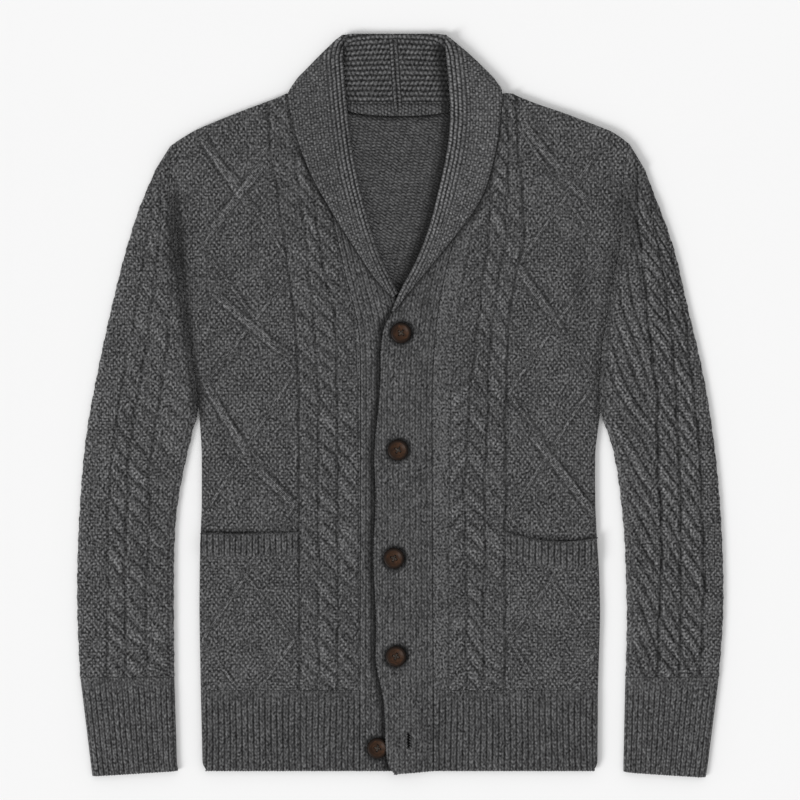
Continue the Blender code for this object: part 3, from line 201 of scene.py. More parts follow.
# Folds and dents: piece, start, end, width and height, which is negative for a trough.
CREASES = (
    ("front_right", (-205, 20), (-150, 62), 9.0, -1.3),
    ("front_right", (-206, 62), (-160, 118), 10.0, 1.0),
    ("front_right", (-186, 150), (-176, 178), 12.0, -1.2),
    ("front_right", (-130, 190), (-127, 225), 8.0, -1.5),
    ("front_right", (-150, -40), (-112, -96), 12.0, 0.7),
    ("front_right", (-196, -210), (-130, -240), 14.0, -0.7),
    ("front_left", (182, 96), (180, 165), 11.0, -1.8),
    ("front_left", (150, 70), (196, 40), 10.0, 0.9),
    ("front_left", (112, 40), (104, 96), 9.0, 0.7),
    ("front_left", (128, -140), (160, -160), 10.0, -1.2),
    ("front_left", (60, -190), (78, -262), 9.0, -0.8),
    ("front_left", (120, -258), (190, -216), 13.0, 0.7),
    ("sleeve_right", (-236, 30), (-262, 74), 9.0, -1.2),
    ("sleeve_right", (-214, -20), (-262, 4), 8.0, 0.9),
    ("sleeve_right", (-246, -104), (-236, -140), 8.0, -1.4),
    ("sleeve_right", (-318, -60), (-290, -84), 9.0, -0.8),
    ("sleeve_right", (-250, -226), (-310, -246), 10.0, 0.7),
    ("sleeve_left", (214, -16), (252, 20), 8.0, -1.0),
    ("sleeve_left", (318, -50), (290, -86), 9.0, -0.9),
    ("sleeve_left", (236, -150), (282, -178), 10.0, 0.8),
    ("sleeve_left", (252, -232), (308, -250), 10.0, -0.7),
    ("hem_right", (-150, -284), (-140, -340), 12.0, 0.5),
    ("hem_left", (128, -300), (134, -364), 12.0, -0.6),
    ("back", (-60, 190), (70, 205), 22.0, -0.8),
    ("back", (-150, 40), (-60, 10), 26.0, 0.6),
)


# ---------------------------------------------------------------- lines in the plane
def reach_to(points, line, closed=False):
    """Distance of points from a line, which side of it they lie on, and how far along it."""
    line = np.asarray(line, float)
    starts, ends = (line, np.roll(line, -1, axis=0)) if closed else (line[:-1], line[1:])
    best = np.full(len(points), 1e9)
    side, along, travelled = np.zeros(len(points)), np.zeros(len(points)), 0.0
    for a, b in zip(starts, ends):
        run = b - a
        length = math.hypot(*run)
        if length < 1e-9:
            continue
        offset = points - a
        t = np.clip(offset @ run / length ** 2, 0, 1)
        away = np.hypot(*(offset - t[:, None] * run).T)
        nearer = away < best
        best = np.where(nearer, away, best)
        cross = run[0] * offset[:, 1] - run[1] * offset[:, 0]
        side = np.where(nearer, np.sign(cross), side)
        along = np.where(nearer, travelled + t * length, along)
        travelled += length
    return best, side, along


def within(points, loop):
    """Which points lie inside a closed loop."""
    x, y = points.T
    result = np.zeros(len(points), bool)
    for (ax, ay), (bx, by) in zip(loop, np.roll(loop, -1, axis=0)):
        if ay != by:
            result ^= ((ay > y) != (by > y)) & (x < (bx - ax) * (y - ay) / (by - ay) + ax)
    return result


def clear_of(points, loops, margin=0.4, run=2.0):
    """0 on whatever lies inside the loops, rising to 1 a little way outside them."""
    result = np.ones(len(points))
    for loop in loops:
        away = reach_to(points, loop, closed=True)[0]
        away = np.where(within(points, loop), -away, away)
        result = np.minimum(result, ease((away - margin) / run))
    return result


def circle(x, y, radius, count=24):
    angles = np.arange(count) * TURN / count
    return np.column_stack([x + radius * np.cos(angles), y + radius * np.sin(angles)])


def ease(t):
    t = np.clip(t, 0, 1)
    return t * t * (3 - 2 * t)


def rounded(away, depth):
    """Fall of a rounded edge: the whole depth where away is 0, nothing from 1 on."""
    return depth * (1 - np.sqrt(np.maximum(0, 1 - (1 - np.clip(away, 0, 1)) ** 2)))


def valley_of(off, start, power):
    """0 on a rib's crest, rising to 1 in the valley between two ribs."""
    return np.clip((off - start) / (1 - start), 0, 1) ** power


# ---------------------------------------------------------------- what the frame gives
def node_faces(name):
    """Corner places and normals of a node's triangles, in millimetres, with doubles merged."""
    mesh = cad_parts[name].data
    mesh.calc_loop_triangles()
    points = np.empty(len(mesh.vertices) * 3)
    mesh.vertices.foreach_get("co", points)
    corners = np.empty(len(mesh.loop_triangles) * 3, np.int32)
    mesh.loop_triangles.foreach_get("vertices", corners)
    spots, same = np.unique(np.round(points.reshape(-1, 3) / MM, 2), axis=0, return_inverse=True)
    faces = same.ravel()[corners.reshape(-1, 3)]
    a, b, c = spots[faces].transpose(1, 0, 2)
    normals = np.cross(b - a, c - a)
    return spots, faces, normals / np.maximum(1e-12, np.linalg.norm(normals, axis=1))[:, None]


def outline(name, above=-1.0):
    """Longest border of the node's upper face, anticlockwise, where the finished cloth has it."""
    spots, faces, normals = node_faces(name)
    upper = faces[(normals[:, 2] > 0.02) & (spots[faces][:, :, 2].mean(axis=1) > above)]
    edges = {(int(t[i]), int(t[i - 2])) for t in upper for i in range(3)}
    follow = {}
    for a, b in edges:
        if (b, a) not in edges:
            follow.setdefault(a, []).append(b)
    loops = []
    while follow:
        start = min(follow)
        line, here = [start], start
        while True:
            nexts = follow[here]
            here = nexts.pop()
            if not nexts:
                del follow[line[-1]]
            if here == start or here not in follow:
                break
            line.append(here)
        loops.append(spots[line][:, :2])
    length = lambda loop: np.sum(np.hypot(*(loop - np.roll(loop, 1, axis=0)).T))
    return trimmed(name, max(loops, key=length))


def trimmed(name, points):
    """A piece's outline where the finished cloth has it."""
    points = np.array(points, float)
    for names, line, shift, reach in TRIMS:
        if name in names:
            points += (1 - ease(reach_to(points, line)[0] / reach))[:, None] * np.array(shift)
    return points


def stretch_of(loop, start, end):
    """The loop's vertices from the one nearest to a start to the one nearest to an end."""
    i, j = (int(np.argmin(np.hypot(*(loop - p).T))) for p in (start, end))
    return loop[i:j + 1] if j >= i else np.vstack([loop[i:], loop[:j + 1]])


def softened(line, step=1.5, spread=7):
    """The line again with close vertices and its angles rounded; its ends stay."""
    lengths = np.concatenate([[0], np.cumsum(np.hypot(*np.diff(line, axis=0).T))])
    count = max(2, int(lengths[-1] / step))
    places = np.linspace(0, lengths[-1], count + 1)
    fine = np.column_stack([np.interp(places, lengths, line[:, k]) for k in (0, 1)])
    reach = min(spread, count // 2)
    if reach < 1:
        return fine
    padded = np.vstack([2 * fine[0] - fine[reach:0:-1], fine, 2 * fine[-1] - fine[-2:-reach - 2:-1]])
    weights = np.hanning(2 * reach + 3)[1:-1]
    weights /= weights.sum()
    return np.column_stack([np.convolve(padded[:, k], weights, "valid") for k in (0, 1)])


def placed(line, fractions, axis):
    """Points of a line at fractions of its run along one axis."""
    run = np.maximum.accumulate((line[:, axis] - line[0, axis]) / (line[-1, axis] - line[0, axis]))
    run = run + np.arange(len(line)) * 1e-9
    return np.column_stack([np.interp(fractions * run[-1], run, line[:, k]) for k in (0, 1)])


def fractions(length, step, dense=(1.0, 0.0), dense_step=1.0):
    """Places 0 to 1 along a length, closer at both ends and inside the dense stretch."""
    rim = (0.0, 0.3, 0.8, 1.6)
    count = int(length / 0.1)
    spots = np.linspace(0, length, count)
    size = np.full(count, float(step))
    size[(spots > dense[0] * length) & (spots < dense[1] * length)] = dense_step
    measure = np.concatenate([[0], np.cumsum(0.5 * (1 / size[1:] + 1 / size[:-1]) * np.diff(spots))])
    total = max(2, int(round(measure[-1])))
    inner = np.interp(np.linspace(0, measure[-1], total + 1), measure, spots)
    first = rim[-1] * 1.35
    inner = inner[(inner > first) & (inner < length - first)]
    return np.concatenate([rim, inner, length - np.array(rim[::-1])]) / length


class Plan:
    """A grid laid over a piece's outline: rows run west to east and follow each other north."""

    def __init__(self, name, across, along, above=-1.0, spread=7):
        self.name, self.across, self.along = name, across, along
        self.loop = outline(name, above)
        south_west, south_east, north_east, north_west = trimmed(name, CORNERS[name])
        cut = lambda a, b: softened(stretch_of(self.loop, a, b), spread=spread)
        self.south, self.east = cut(south_west, south_east), cut(south_east, north_east)
        self.north, self.west = cut(north_east, north_west)[::-1], cut(north_west, south_west)[::-1]
        self.inner_column = 0 if name.endswith("left") else -1
        self.outer, self.inner = (self.west, self.east) if self.inner_column else (self.east, self.west)
        self.grid = self.at(across, along)
        self.points = self.grid.reshape(-1, 2)
        self.rows, self.columns = len(along), len(across)

    def at(self, across, along):
        """The grid at fractions of the piece's width and length."""
        south, north = placed(self.south, across, 0), placed(self.north, across, 0)
        west, east = placed(self.west, along, 1), placed(self.east, along, 1)
        u, v = across[None, :, None], along[:, None, None]
        sides = (1 - u) * west[:, None] + u * east[:, None] + (1 - v) * south[None] + v * north[None]
        return sides - ((1 - u) * (1 - v) * west[0] + u * (1 - v) * east[0]
                        + (1 - u) * v * west[-1] + u * v * east[-1])

    def tucked(self, columns):
        """The grid's picked columns once more, drawn in from the border."""
        size = self.loop.max(axis=0) - self.loop.min(axis=0)
        draw = lambda places, length: TUCK / length + places * (1 - 2 * TUCK / length)
        return self.at(draw(self.across[columns], size[0] * 0.6), draw(self.along, size[1]))

    def fall(self, **sides):
        """How far the cloth falls towards its sides, each given as (depth, width)."""
        drop = np.zeros(len(self.points))
        for side, (depth, width) in sides.items():
            drop = np.maximum(drop, rounded(reach_to(self.points, getattr(self, side))[0] / width, depth))
        return drop

    def from_folds(self):
        """Distance from the nearer fold of a tube."""
        return np.minimum(reach_to(self.points, self.west)[0], reach_to(self.points, self.east)[0])


def nudge(plan):
    """Draws the grid a little way over near the spot that NUDGES names."""
    spot, shift, radius = NUDGES[plan.name]
    away = np.hypot(plan.grid[..., 0] - spot[0], plan.grid[..., 1] - spot[1])
    plan.grid = plan.grid + np.exp(-(away / radius) ** 2)[..., None] * np.array(shift, float)
    plan.points = plan.grid.reshape(-1, 2)


def bow(plan):
    """Rounds the top edge of the collar, which stands a little higher at the middle."""
    x, y = plan.grid[..., 0], plan.grid[..., 1]
    plan.grid[..., 1] += 2.0 * ease((60 - np.abs(x + 7.0)) / 22.0) * ease((y - 350) / 18.0)
    plan.points = plan.grid.reshape(-1, 2)


def dip(points, line, depth, width):
    """How far the cloth sinks softly towards a line."""
    return depth * (1 - ease(reach_to(points, line)[0] / width))


# ---------------------------------------------------------------- the knitting's own relief
class Knit:
    """What a grid point carries: its height over the plain cloth, its stitches, its kind, and the painted shade,
    painted highlight and tone of its wool.
    """

    def __init__(self, plan):
        k = knit_settings()
        self.wale, self.course, self.tone = mm(k.wale), mm(k.course), 1.0
        self.points = plan.points
        self.x, self.y = plan.points.T
        self.u, self.v = self.x / self.wale, self.y / self.course
        # dark is painted shade; strand lightens the wool, mostly as a painted highlight; tone is how light the wool
        # is, partly painted light and shade.
        self.rise, self.moss, self.dark, self.strand = (np.zeros(len(plan.points)) for _ in range(4))

    def put(self, where, **values):
        """Sets values on some of the points."""
        for name, value in values.items():
            setattr(self, name, np.where(where, value, getattr(self, name)))

    # Paints shade: keeps the deeper of the painted shade already there and the new one.
    def darken(self, shade):
        self.dark = np.maximum(self.dark, shade)

    def finer(self, scale):
        """Sets the stitches closer wherever they are moss stitch."""
        scale = np.where(self.moss > 0.5, scale, 1.0)
        self.u, self.v = self.u * scale, self.v * scale


def rope(knit, outer, inner, height, pitch, lean, first, seed, cut):
    """A cable between two ditches: strands that run down across it, each over the next one, with a painted highlight
    on their crests and painted shade where they cross.
    """
    west, east = (outer, inner) if knit.x[0] < 0 else (inner, outer)
    width = east - west
    inside = (knit.x > west) & (knit.x < east)
    t = np.clip((knit.x - west) / width, 0, 1)
    turn = 0.6 * t + 0.4 * np.arccos(1 - 2 * t) / math.pi
    drift = 0.16 * np.sin(knit.y / 31.0 + seed) + 0.1 * np.sin(knit.y / 13.0 + 2.1 * seed)
    phase = (knit.y + lean * turn - first) / pitch + drift
    f, number = phase % 1, np.floor(phase).astype(int)
    draws = np.random.default_rng(seed).uniform(-1, 1, 200)
    uneven = draws[number % len(draws)]
    lobe = np.clip(1 - (2 * f - 1) ** 2, 0, 1) ** 0.6
    skirt = np.sin(math.pi * t) ** 0.6
    rise = height * (1 + 0.25 * uneven) * (lobe - 0.25) * (0.25 + 0.75 * skirt)
    slope = np.abs(lean) / np.maximum(width, 1.0)
    gap = np.minimum(f, 1 - f) * pitch / np.sqrt(1 + slope ** 2)
    patchy = 0.65 + 0.35 * np.sin(knit.y / 7.7 + 5 * t + seed) * np.sin(knit.y / 23.0 + 3 * seed)
    # strand: painted highlight on each strand's crest, of a random strength per strand; dark: painted shade in the
    # gaps, by cut.
    knit.put(inside, rise=rise, moss=0.8, strand=uneven * lobe * skirt,
             dark=cut * patchy * skirt ** 0.5 * np.exp(-(gap / 1.3) ** 2))


def ditch_lines(name, y):
    """How far out the ditches of a piece lie at heights y, outermost first."""
    table = np.array(DITCHES[name])
    sign = SIDES[name.split("_")[1]]
    return [sign * np.interp(y, table[:, 0], column) for column in table[:, 1:].T]


def ditch(knit, line, depth, width=1.7, seed=0.0, dark=0.3):
    """A purl ditch whose line and depth waver, with painted shade in it as strong as dark says."""
    line = line + 0.8 * np.sin(knit.y / 8.3 + seed) + 0.6 * np.sin(knit.y / 21.0 + 2 * seed)
    uneven = 0.62 + 0.38 * np.sin(knit.y / 12.7 + 3 * seed) * np.sin(knit.y / 5.1 + seed)
    well = uneven * np.exp(-((knit.x - line) / width) ** 2)
    knit.rise -= depth * well
    # Painted shade in the ditch.
    knit.darken(dark * well)


def ridge(knit, turns, height, foot, keep, seed=0.0, bright=0.0):
    """A travelling stitch over a zigzag, on the points that `keep` allows; with a highlight given, a painted
    highlight along its legs and painted shade beside them.
    """
    away, side, along = reach_to(knit.points, turns)
    uneven = 0.4 + 0.3 * np.sin(along / 17.0 + seed) + 0.3 * np.sin(along / 6.1 + 2 * seed)
    # Painted highlight on the twin legs, and painted shade in lines beside them.
    if bright:
        ends = np.clip(np.minimum(along, along.max() - along) / 9.0, 0, 1)
        uneven = ends * (0.85 + 0.25 * np.sin(along / 4.3 + seed))
        twin = np.exp(-((away - 2.3) / 1.05) ** 2) * (0.65 + 0.35 * np.sin(along * TURN / 4.0 + side))
        knit.strand = knit.strand + np.where(keep, bright * uneven * twin, 0.0)
        rim = uneven * (0.34 * np.exp(-((away - 4.8) / 1.2) ** 2) + 0.34 * np.exp(-(away / 0.8) ** 2))
        knit.dark = np.where(keep, np.maximum(knit.dark, rim), knit.dark)
    near = (away < foot) & keep
    crest = height * uneven * np.cos(0.5 * math.pi * np.clip(away / foot, 0, 1)) ** 0.8
    groove = -0.3 * uneven * np.exp(-((away - foot - 0.9) / 1.1) ** 2)
    knit.rise = np.where(keep, knit.rise + crest + groove, knit.rise)
    knit.put(near, u=side * away / knit.wale + 0.5, v=along / knit.course, moss=0.0)


def shaded_by(knit, loop, strength, width, flat=0.0):
    """Paints shade, like a cast shadow, on what lies beside a piece that stands over the cloth."""
    away = reach_to(knit.points, loop, closed=True)[0]
    away = np.where(within(knit.points, loop), 0.0, away)
    knit.darken(strength * (1 - ease((away - flat) / width)))


def shade_armhole(knit, side, armhole, over=True):
    """The body stands over the sleeve's inner edge, and painted shade darkens the dip between them on both sides."""
    away = reach_to(knit.points, armhole)[0]
    near, reach, far, spread = (np.interp(knit.y, ARMHOLE_HEIGHTS, row) for row in ARMHOLES[side])
    if over:
        near, reach, far = 1.08 * near, 1.2 * reach, 0.0
    patchy = 0.9 + 0.1 * np.sin(knit.y / 6.3) * np.sin(knit.y / 15.1 + 1.0)
    knit.darken(patchy * np.maximum(near * np.exp(-(away / reach) ** 3), far * np.exp(-(away / spread) ** 4)))


def paint_tone(knit, name, tone=1.0):
    """How light a piece is: its tone times the painted light and shade of its areas."""
    for piece, x, y, wide, high, strength in PAINTED_AREAS:
        if piece == name:
            tone = tone * (1 - strength * np.exp(-((knit.x - x) / wide) ** 2 - ((knit.y - y) / high) ** 2))
    knit.tone = tone


def ribs(knit, across, pitch, height, fade=1.0, valley=0.55):
    """Ribs over a coordinate that runs across them, with painted shade in their narrow valleys; returns it in ribs.
    """
    off = np.abs(2 * ((across / pitch) % 1) - 1)
    knit.rise = knit.rise + height * fade * (np.clip(1 - off ** 3.2, 0, 1) - 0.25)
    # Painted shade in the valleys, as strong as valley says.
    knit.darken(valley * fade * valley_of(off, 0.62, 1.3))
    return across / pitch


def unevenness(points, size):
    """The slight wander of a hand-knit cloth."""
    x, y = points.T
    return size * (np.sin(x / 11.3 + y / 17.9 + 0.4) + np.sin(x / 7.1 - y / 23.7 + 1.9)
                   + np.sin(x / 29.3 + y / 9.7 + 4.1) + 0.6 * np.sin(x / 5.3 + y / 6.1 + 2.2)) / 3.6


def creased(name, points):
    """Added height of the folds and dents of a piece."""
    rise = np.zeros(len(points))
    for piece, start, end, width, height in CREASES:
        if piece != name:
            continue
        line = np.array([start, end], float)
        away, _, along = reach_to(points, line)
        length = math.hypot(*(line[1] - line[0]))
        bend = 0.22 * length * np.sin(math.pi * along / length)
        taper = 0.55 + 0.45 * np.sin(math.pi * along / length)
        rise += height * taper * np.exp(-((away + 0.12 * bend) / width) ** 2)
    return rise


def blurred(values, reach):
    """A grid's running mean over a square of neighbours."""
    for axis in (0, 1):
        size = 2 * reach + 1
        pad = [(reach, reach) if k == axis else (0, 0) for k in (0, 1)]
        sums = np.cumsum(np.pad(values, pad, mode="edge"), axis=axis)
        zero = np.zeros_like(np.take(sums, [0], axis=axis))
        sums = np.concatenate([zero, sums], axis=axis)
        count = values.shape[axis]
        values = (np.take(sums, range(size, size + count), axis=axis)
                  - np.take(sums, range(count), axis=axis)) / size
    return values


# ---------------------------------------------------------------- meshes
def underside_of(name, below=-5.0):
    """Height of the lowest face of a node over a place."""
    spots, faces, _ = node_faces(name)
    tree = BVHTree.FromPolygons([tuple(p) for p in spots], [tuple(int(i) for i in f) for f in faces])

    def height(points, middle):
        result = []
        for p, m in zip(points, middle):
            inward = m - p
            distance = math.hypot(*inward)
            found = None
            for step in (0.08, 0.4, 1.2):
                q = p + inward * min(1.0, step / max(distance, 1e-6))
                found = tree.ray_cast(Vector((q[0], q[1], below)), Vector((0, 0, 1)))[0]
                if found is not None:
                    break
            result.append(found.z if found is not None else 0.0)
        return np.array(result)
    return height


def every(count, step):
    """Indices 0 to count - 1 about a step apart, both ends among them."""
    return sorted({int(round(i)) for i in np.linspace(0, count - 1, max(3, int(round((count - 1) / step)) + 1))})


class Mesh:
    """Points with their stitches, and faces, gathered into one mesh."""

    def __init__(self):
        self.points, self.stitches, self.shades, self.faces = [], [], [], []
        self.count = 0

    def add(self, grid, height, stitches, shade):
        """Adds a grid of points, with u, v and moss of its stitches, and gives their numbers."""
        shape = grid.shape[:2]
        height, shade = (np.broadcast_to(values, shape).ravel() for values in (height, shade))
        self.points.append(np.column_stack([grid.reshape(-1, 2), height]) * MM)
        self.stitches.append(stitches.reshape(-1, 3))
        self.shades.append(shade)
        numbers = self.count + np.arange(len(height)).reshape(shape)
        self.count += len(height)
        return numbers

    def quads(self, n, up=True, keep=None):
        faces = np.stack([n[:-1, :-1], n[:-1, 1:], n[1:, 1:], n[1:, :-1]], axis=-1)
        faces = faces[keep] if keep is not None else faces.reshape(-1, 4)
        self.faces += (faces if up else faces[:, ::-1]).tolist()

    def wall(self, upper, lower):
        """Joins two rows of points; seen from outside, the rows run from right to left."""
        faces = np.stack([upper[:-1], upper[1:], lower[1:], lower[:-1]], axis=-1)
        self.faces += faces.tolist()

    def strip(self, upper, lower, picked, flip=False):
        """Joins a fine row to a coarse one whose points stand under the picked fine ones."""
        for k, (a, b) in enumerate(zip(picked, picked[1:])):
            face = [int(lower[k]), int(lower[k + 1])] + [int(i) for i in upper[a:b + 1][::-1]]
            self.faces.append(face[::-1] if flip else face)

    def make(self, plan, wool_kind):
        """The finished object, which replaces the plan's node."""
        mesh = bpy.data.meshes.new(f"{plan.name}_knit")
        mesh.from_pydata(np.vstack(self.points).tolist(), [], self.faces)
        mesh.polygons.foreach_set("use_smooth", np.ones(len(mesh.polygons), bool))
        corners = np.empty(len(mesh.loops), np.int32)
        mesh.loops.foreach_get("vertex_index", corners)
        stitches = np.vstack(self.stitches)
        layer = mesh.uv_layers.new(name="knit")
        layer.uv.foreach_set("vector", stitches[corners, :2].astype(np.float32).ravel())
        point_values(mesh, "moss", stitches[:, 2])
        point_values(mesh, "shade", np.concatenate(self.shades))
        mesh.materials.append(wool_of(wool_kind))
        obj = placed_object(mesh.name, mesh)
        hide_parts(plan.name)
        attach(obj, "root")
        return obj


def point_values(mesh, label, values):
    made = mesh.attributes.new(label, "FLOAT", "POINT")
    made.data.foreach_set("value", np.asarray(values, np.float32))


def placed_object(name, mesh):
    obj = bpy.data.objects.new(name, mesh)
    bpy.context.scene.collection.objects.link(obj)
    return obj


def plain_object(name, points, faces, material, smooth=True):
    mesh = bpy.data.meshes.new(name)
    mesh.from_pydata(points, [], faces)
    mesh.polygons.foreach_set("use_smooth", np.full(len(mesh.polygons), smooth))
    mesh.materials.append(material)
    return placed_object(name, mesh)


def surface(plan, knit, reach):
    """Stitches of a piece's grid, and the painted light and shade of its wool: painted shade in its hollows and
    where dark says, painted highlight on its crests and strands, times its tone.
    """
    shape = plan.rows, plan.columns
    rise, strand, dark = (values.reshape(shape) for values in (knit.rise, knit.strand, knit.dark))
    # Painted shade in the relief's hollows and painted light on its crests.
    hollow = np.clip((blurred(rise, reach) - rise) / 1.1, -0.7, 1)
    tone = np.broadcast_to(knit.tone, len(knit.x)).reshape(shape)
    shade = tone * (1 - 0.55 * hollow + 0.16 * strand) * (1 - np.clip(dark, 0, 0.97))
    return np.stack([knit.u, knit.v, knit.moss], axis=-1).reshape(*shape, 3), shade


def shell(plan, knit, top, wool_kind, under_step=10, reach=3, hole=None):
    """One cloth wall: the knitted face above, a plain face below it and its border all round."""
    mesh = Mesh()
    stitches, shade = surface(plan, knit, reach)
    top = top.reshape(shade.shape)
    upper = mesh.add(plan.grid, top, stitches, shade)
    picked = every(plan.columns, under_step)
    low = plan.tucked(picked)
    middle = np.repeat(plan.grid.mean(axis=1)[:, None], len(picked), axis=1)
    floor = underside_of(plan.name)(low.reshape(-1, 2), middle.reshape(-1, 2)).reshape(low.shape[:2])
    if under_step > 1:
        beside = np.pad(floor, ((0, 0), (1, 1)), mode="edge")
        spread = np.maximum(floor, np.maximum(beside[:, 2:], beside[:, :-2]))
        floor = np.minimum(spread, top[:, picked] - 1.2)
    lower = mesh.add(low, floor, stitches[:, picked], 1.0)
    keep = None
    if hole is not None:
        centres = 0.25 * (plan.grid[:-1, :-1] + plan.grid[:-1, 1:] + plan.grid[1:, 1:] + plan.grid[1:, :-1])
        keep = ~within(centres.reshape(-1, 2), hole).reshape(centres.shape[:2])
        for i, j in zip(*np.nonzero(~keep)):
            ring = ((i, j), (i, j + 1), (i + 1, j + 1), (i + 1, j))
            beside = ((i - 1, j), (i, j + 1), (i + 1, j), (i, j - 1))
            for k in range(4):
                if keep[beside[k]]:
                    a, b = ring[k], ring[(k + 1) % 4]
                    mesh.faces.append([int(lower[a]), int(lower[b]), int(upper[b]), int(upper[a])])
    mesh.quads(upper, True, keep)
    mesh.quads(lower, False, keep)
    mesh.wall(upper[:, 0], lower[:, 0])
    mesh.wall(upper[::-1, -1], lower[::-1, -1])
    mesh.strip(upper[0], lower[0], picked)
    mesh.strip(upper[-1], lower[-1], picked, flip=True)
    return mesh.make(plan, wool_kind)


def tube(plan, knit, top, under, wool_kind, lifted=None):
    """A flattened tube: the faces meet at its folds, and a slit runs through it, open at both ends.

    The faces meet halfway up, or higher along the inner fold where `lifted` rises from 0 to 1.
    """
    mesh = Mesh()
    stitches, shade = surface(plan, knit, 3)
    high, low = top.reshape(shade.shape), under.reshape(shade.shape)
    for column in (0, -1):
        share = 0.5 + 0.5 * lifted(plan.grid[:, column, 1]) if lifted and column == plan.inner_column else 0.5
        high[:, column] = low[:, column] = share * high[:, column] + (1 - share) * low[:, column]
    upper = mesh.add(plan.grid, high, stitches, shade)
    inner = [i + 4 for i in every(plan.columns - 8, 8)]
    below = mesh.add(plan.grid[:, inner], low[:, inner], stitches[:, inner], 1.0)
    lower = np.column_stack([upper[:, 0], below, upper[:, -1]])
    mesh.quads(upper, True)
    mesh.quads(lower, False)
    spot = np.ix_(every(plan.rows, 40), inner)
    # The slit's inner faces carry painted shade.
    roof, floor = (mesh.add(plan.grid[spot], level, stitches[spot] * (1, 1, 0), 0.4)
                   for level in (WALL + 0.9, WALL))
    mesh.quads(roof, False)
    mesh.quads(floor, True)
    mesh.wall(floor[:, 0], roof[:, 0])
    mesh.wall(floor[::-1, -1], roof[::-1, -1])
    west, east = inner[0], inner[-1]
    for row, flip in ((0, False), (-1, True)):
        faces = []
        for k, (a, b) in enumerate(zip(inner, inner[1:])):
            faces.append([roof[row, k], roof[row, k + 1], *upper[row, a:b + 1][::-1]])
            faces.append([lower[row, k + 1], lower[row, k + 2], floor[row, k + 1], floor[row, k]])
        faces.append([lower[row, 0], lower[row, 1], floor[row, 0], roof[row, 0], *upper[row, 1:west + 1][::-1]])
        faces.append([floor[row, -1], lower[row, -2], lower[row, -1],
                      *upper[row, east:plan.columns - 1][::-1], roof[row, -1]])
        mesh.faces += [[int(i) for i in (face[::-1] if flip else face)] for face in faces]
    return mesh.make(plan, wool_kind)


# ---------------------------------------------------------------- materials
class Wiring:
    """Short ways to add nodes and links to a tree."""

    def __init__(self, tree):
        self.tree = tree

    def put(self, socket, value):
        if isinstance(value, bpy.types.NodeSocket):
            self.tree.links.new(value, socket)
        elif value is not None:
            socket.default_value = value

    def node(self, kind, values=(), **settings):
        made = self.tree.nodes.new(kind)
        for key, value in settings.items():
            setattr(made, key, value)
        for key, value in dict(values).items():
            self.put(made.inputs[key], value)
        return made

    def math(self, operation, *values):
        made = self.node("ShaderNodeMath", operation=operation)
        for socket, value in zip(made.inputs, values):
            self.put(socket, value)
        return made.outputs[0]

    def mix(self, factor, first, second):
        made = self.node("ShaderNodeMix", data_type="FLOAT")
        for index, value in ((0, factor), (2, first), (3, second)):
            self.put(made.inputs[index], value)
        return made.outputs[0]

    def colours(self, factor, stops):
        made = self.node("ShaderNodeValToRGB", {"Fac": factor})
        ramp = made.color_ramp
        while len(ramp.elements) < len(stops):
            ramp.elements.new(1.0)
        for element, (place, colour) in zip(ramp.elements, stops):
            element.position, element.color = place, (*colour, 1)
        return made.outputs[0]

    def xyz(self, x, y, z):
        return self.node("ShaderNodeCombineXYZ", {"X": x, "Y": y, "Z": z}).outputs[0]

    def noise(self, spot, scale, detail, distortion=0.0, output="Fac"):
        return self.node("ShaderNodeTexNoise", {"Vector": spot, "Scale": scale, "Detail": detail,
                                                "Distortion": distortion}).outputs[output]

    def white_noise(self, x, y, z):
        return self.node("ShaderNodeTexWhiteNoise", {"Vector": self.xyz(x, y, z)},
                         noise_dimensions="3D").outputs["Value"]

    def blend(self, kind, factor, first, second):
        made = self.node("ShaderNodeMix", data_type="RGBA", blend_type=kind)
        for index, value in ((0, factor), (6, first), (7, second)):
            self.put(made.inputs[index], value)
        return made.outputs[2]

    def bump(self, height, distance, strength):
        return self.node("ShaderNodeBump", {"Height": height, "Distance": distance,
                                            "Strength": strength}).outputs[0]


def principled(name):
    """A new material, the wiring of its tree and the inputs of its shader."""
    made = bpy.data.materials.new(name)
    made.use_nodes = True
    return made, Wiring(made.node_tree), made.node_tree.nodes["Principled BSDF"].inputs


def new_group(name, inputs, outputs):
    group = bpy.data.node_groups.new(name, "ShaderNodeTree")
    for label, kind, default in inputs:
        socket = group.interface.new_socket(label, in_out="INPUT", socket_type=kind)
        if default is not None:
            socket.default_value = default
    for label, kind in outputs:
        group.interface.new_socket(label, in_out="OUTPUT", socket_type=kind)
    wires = Wiring(group)
    return group, wires, wires.node("NodeGroupInput").outputs, wires.node("NodeGroupOutput").inputs


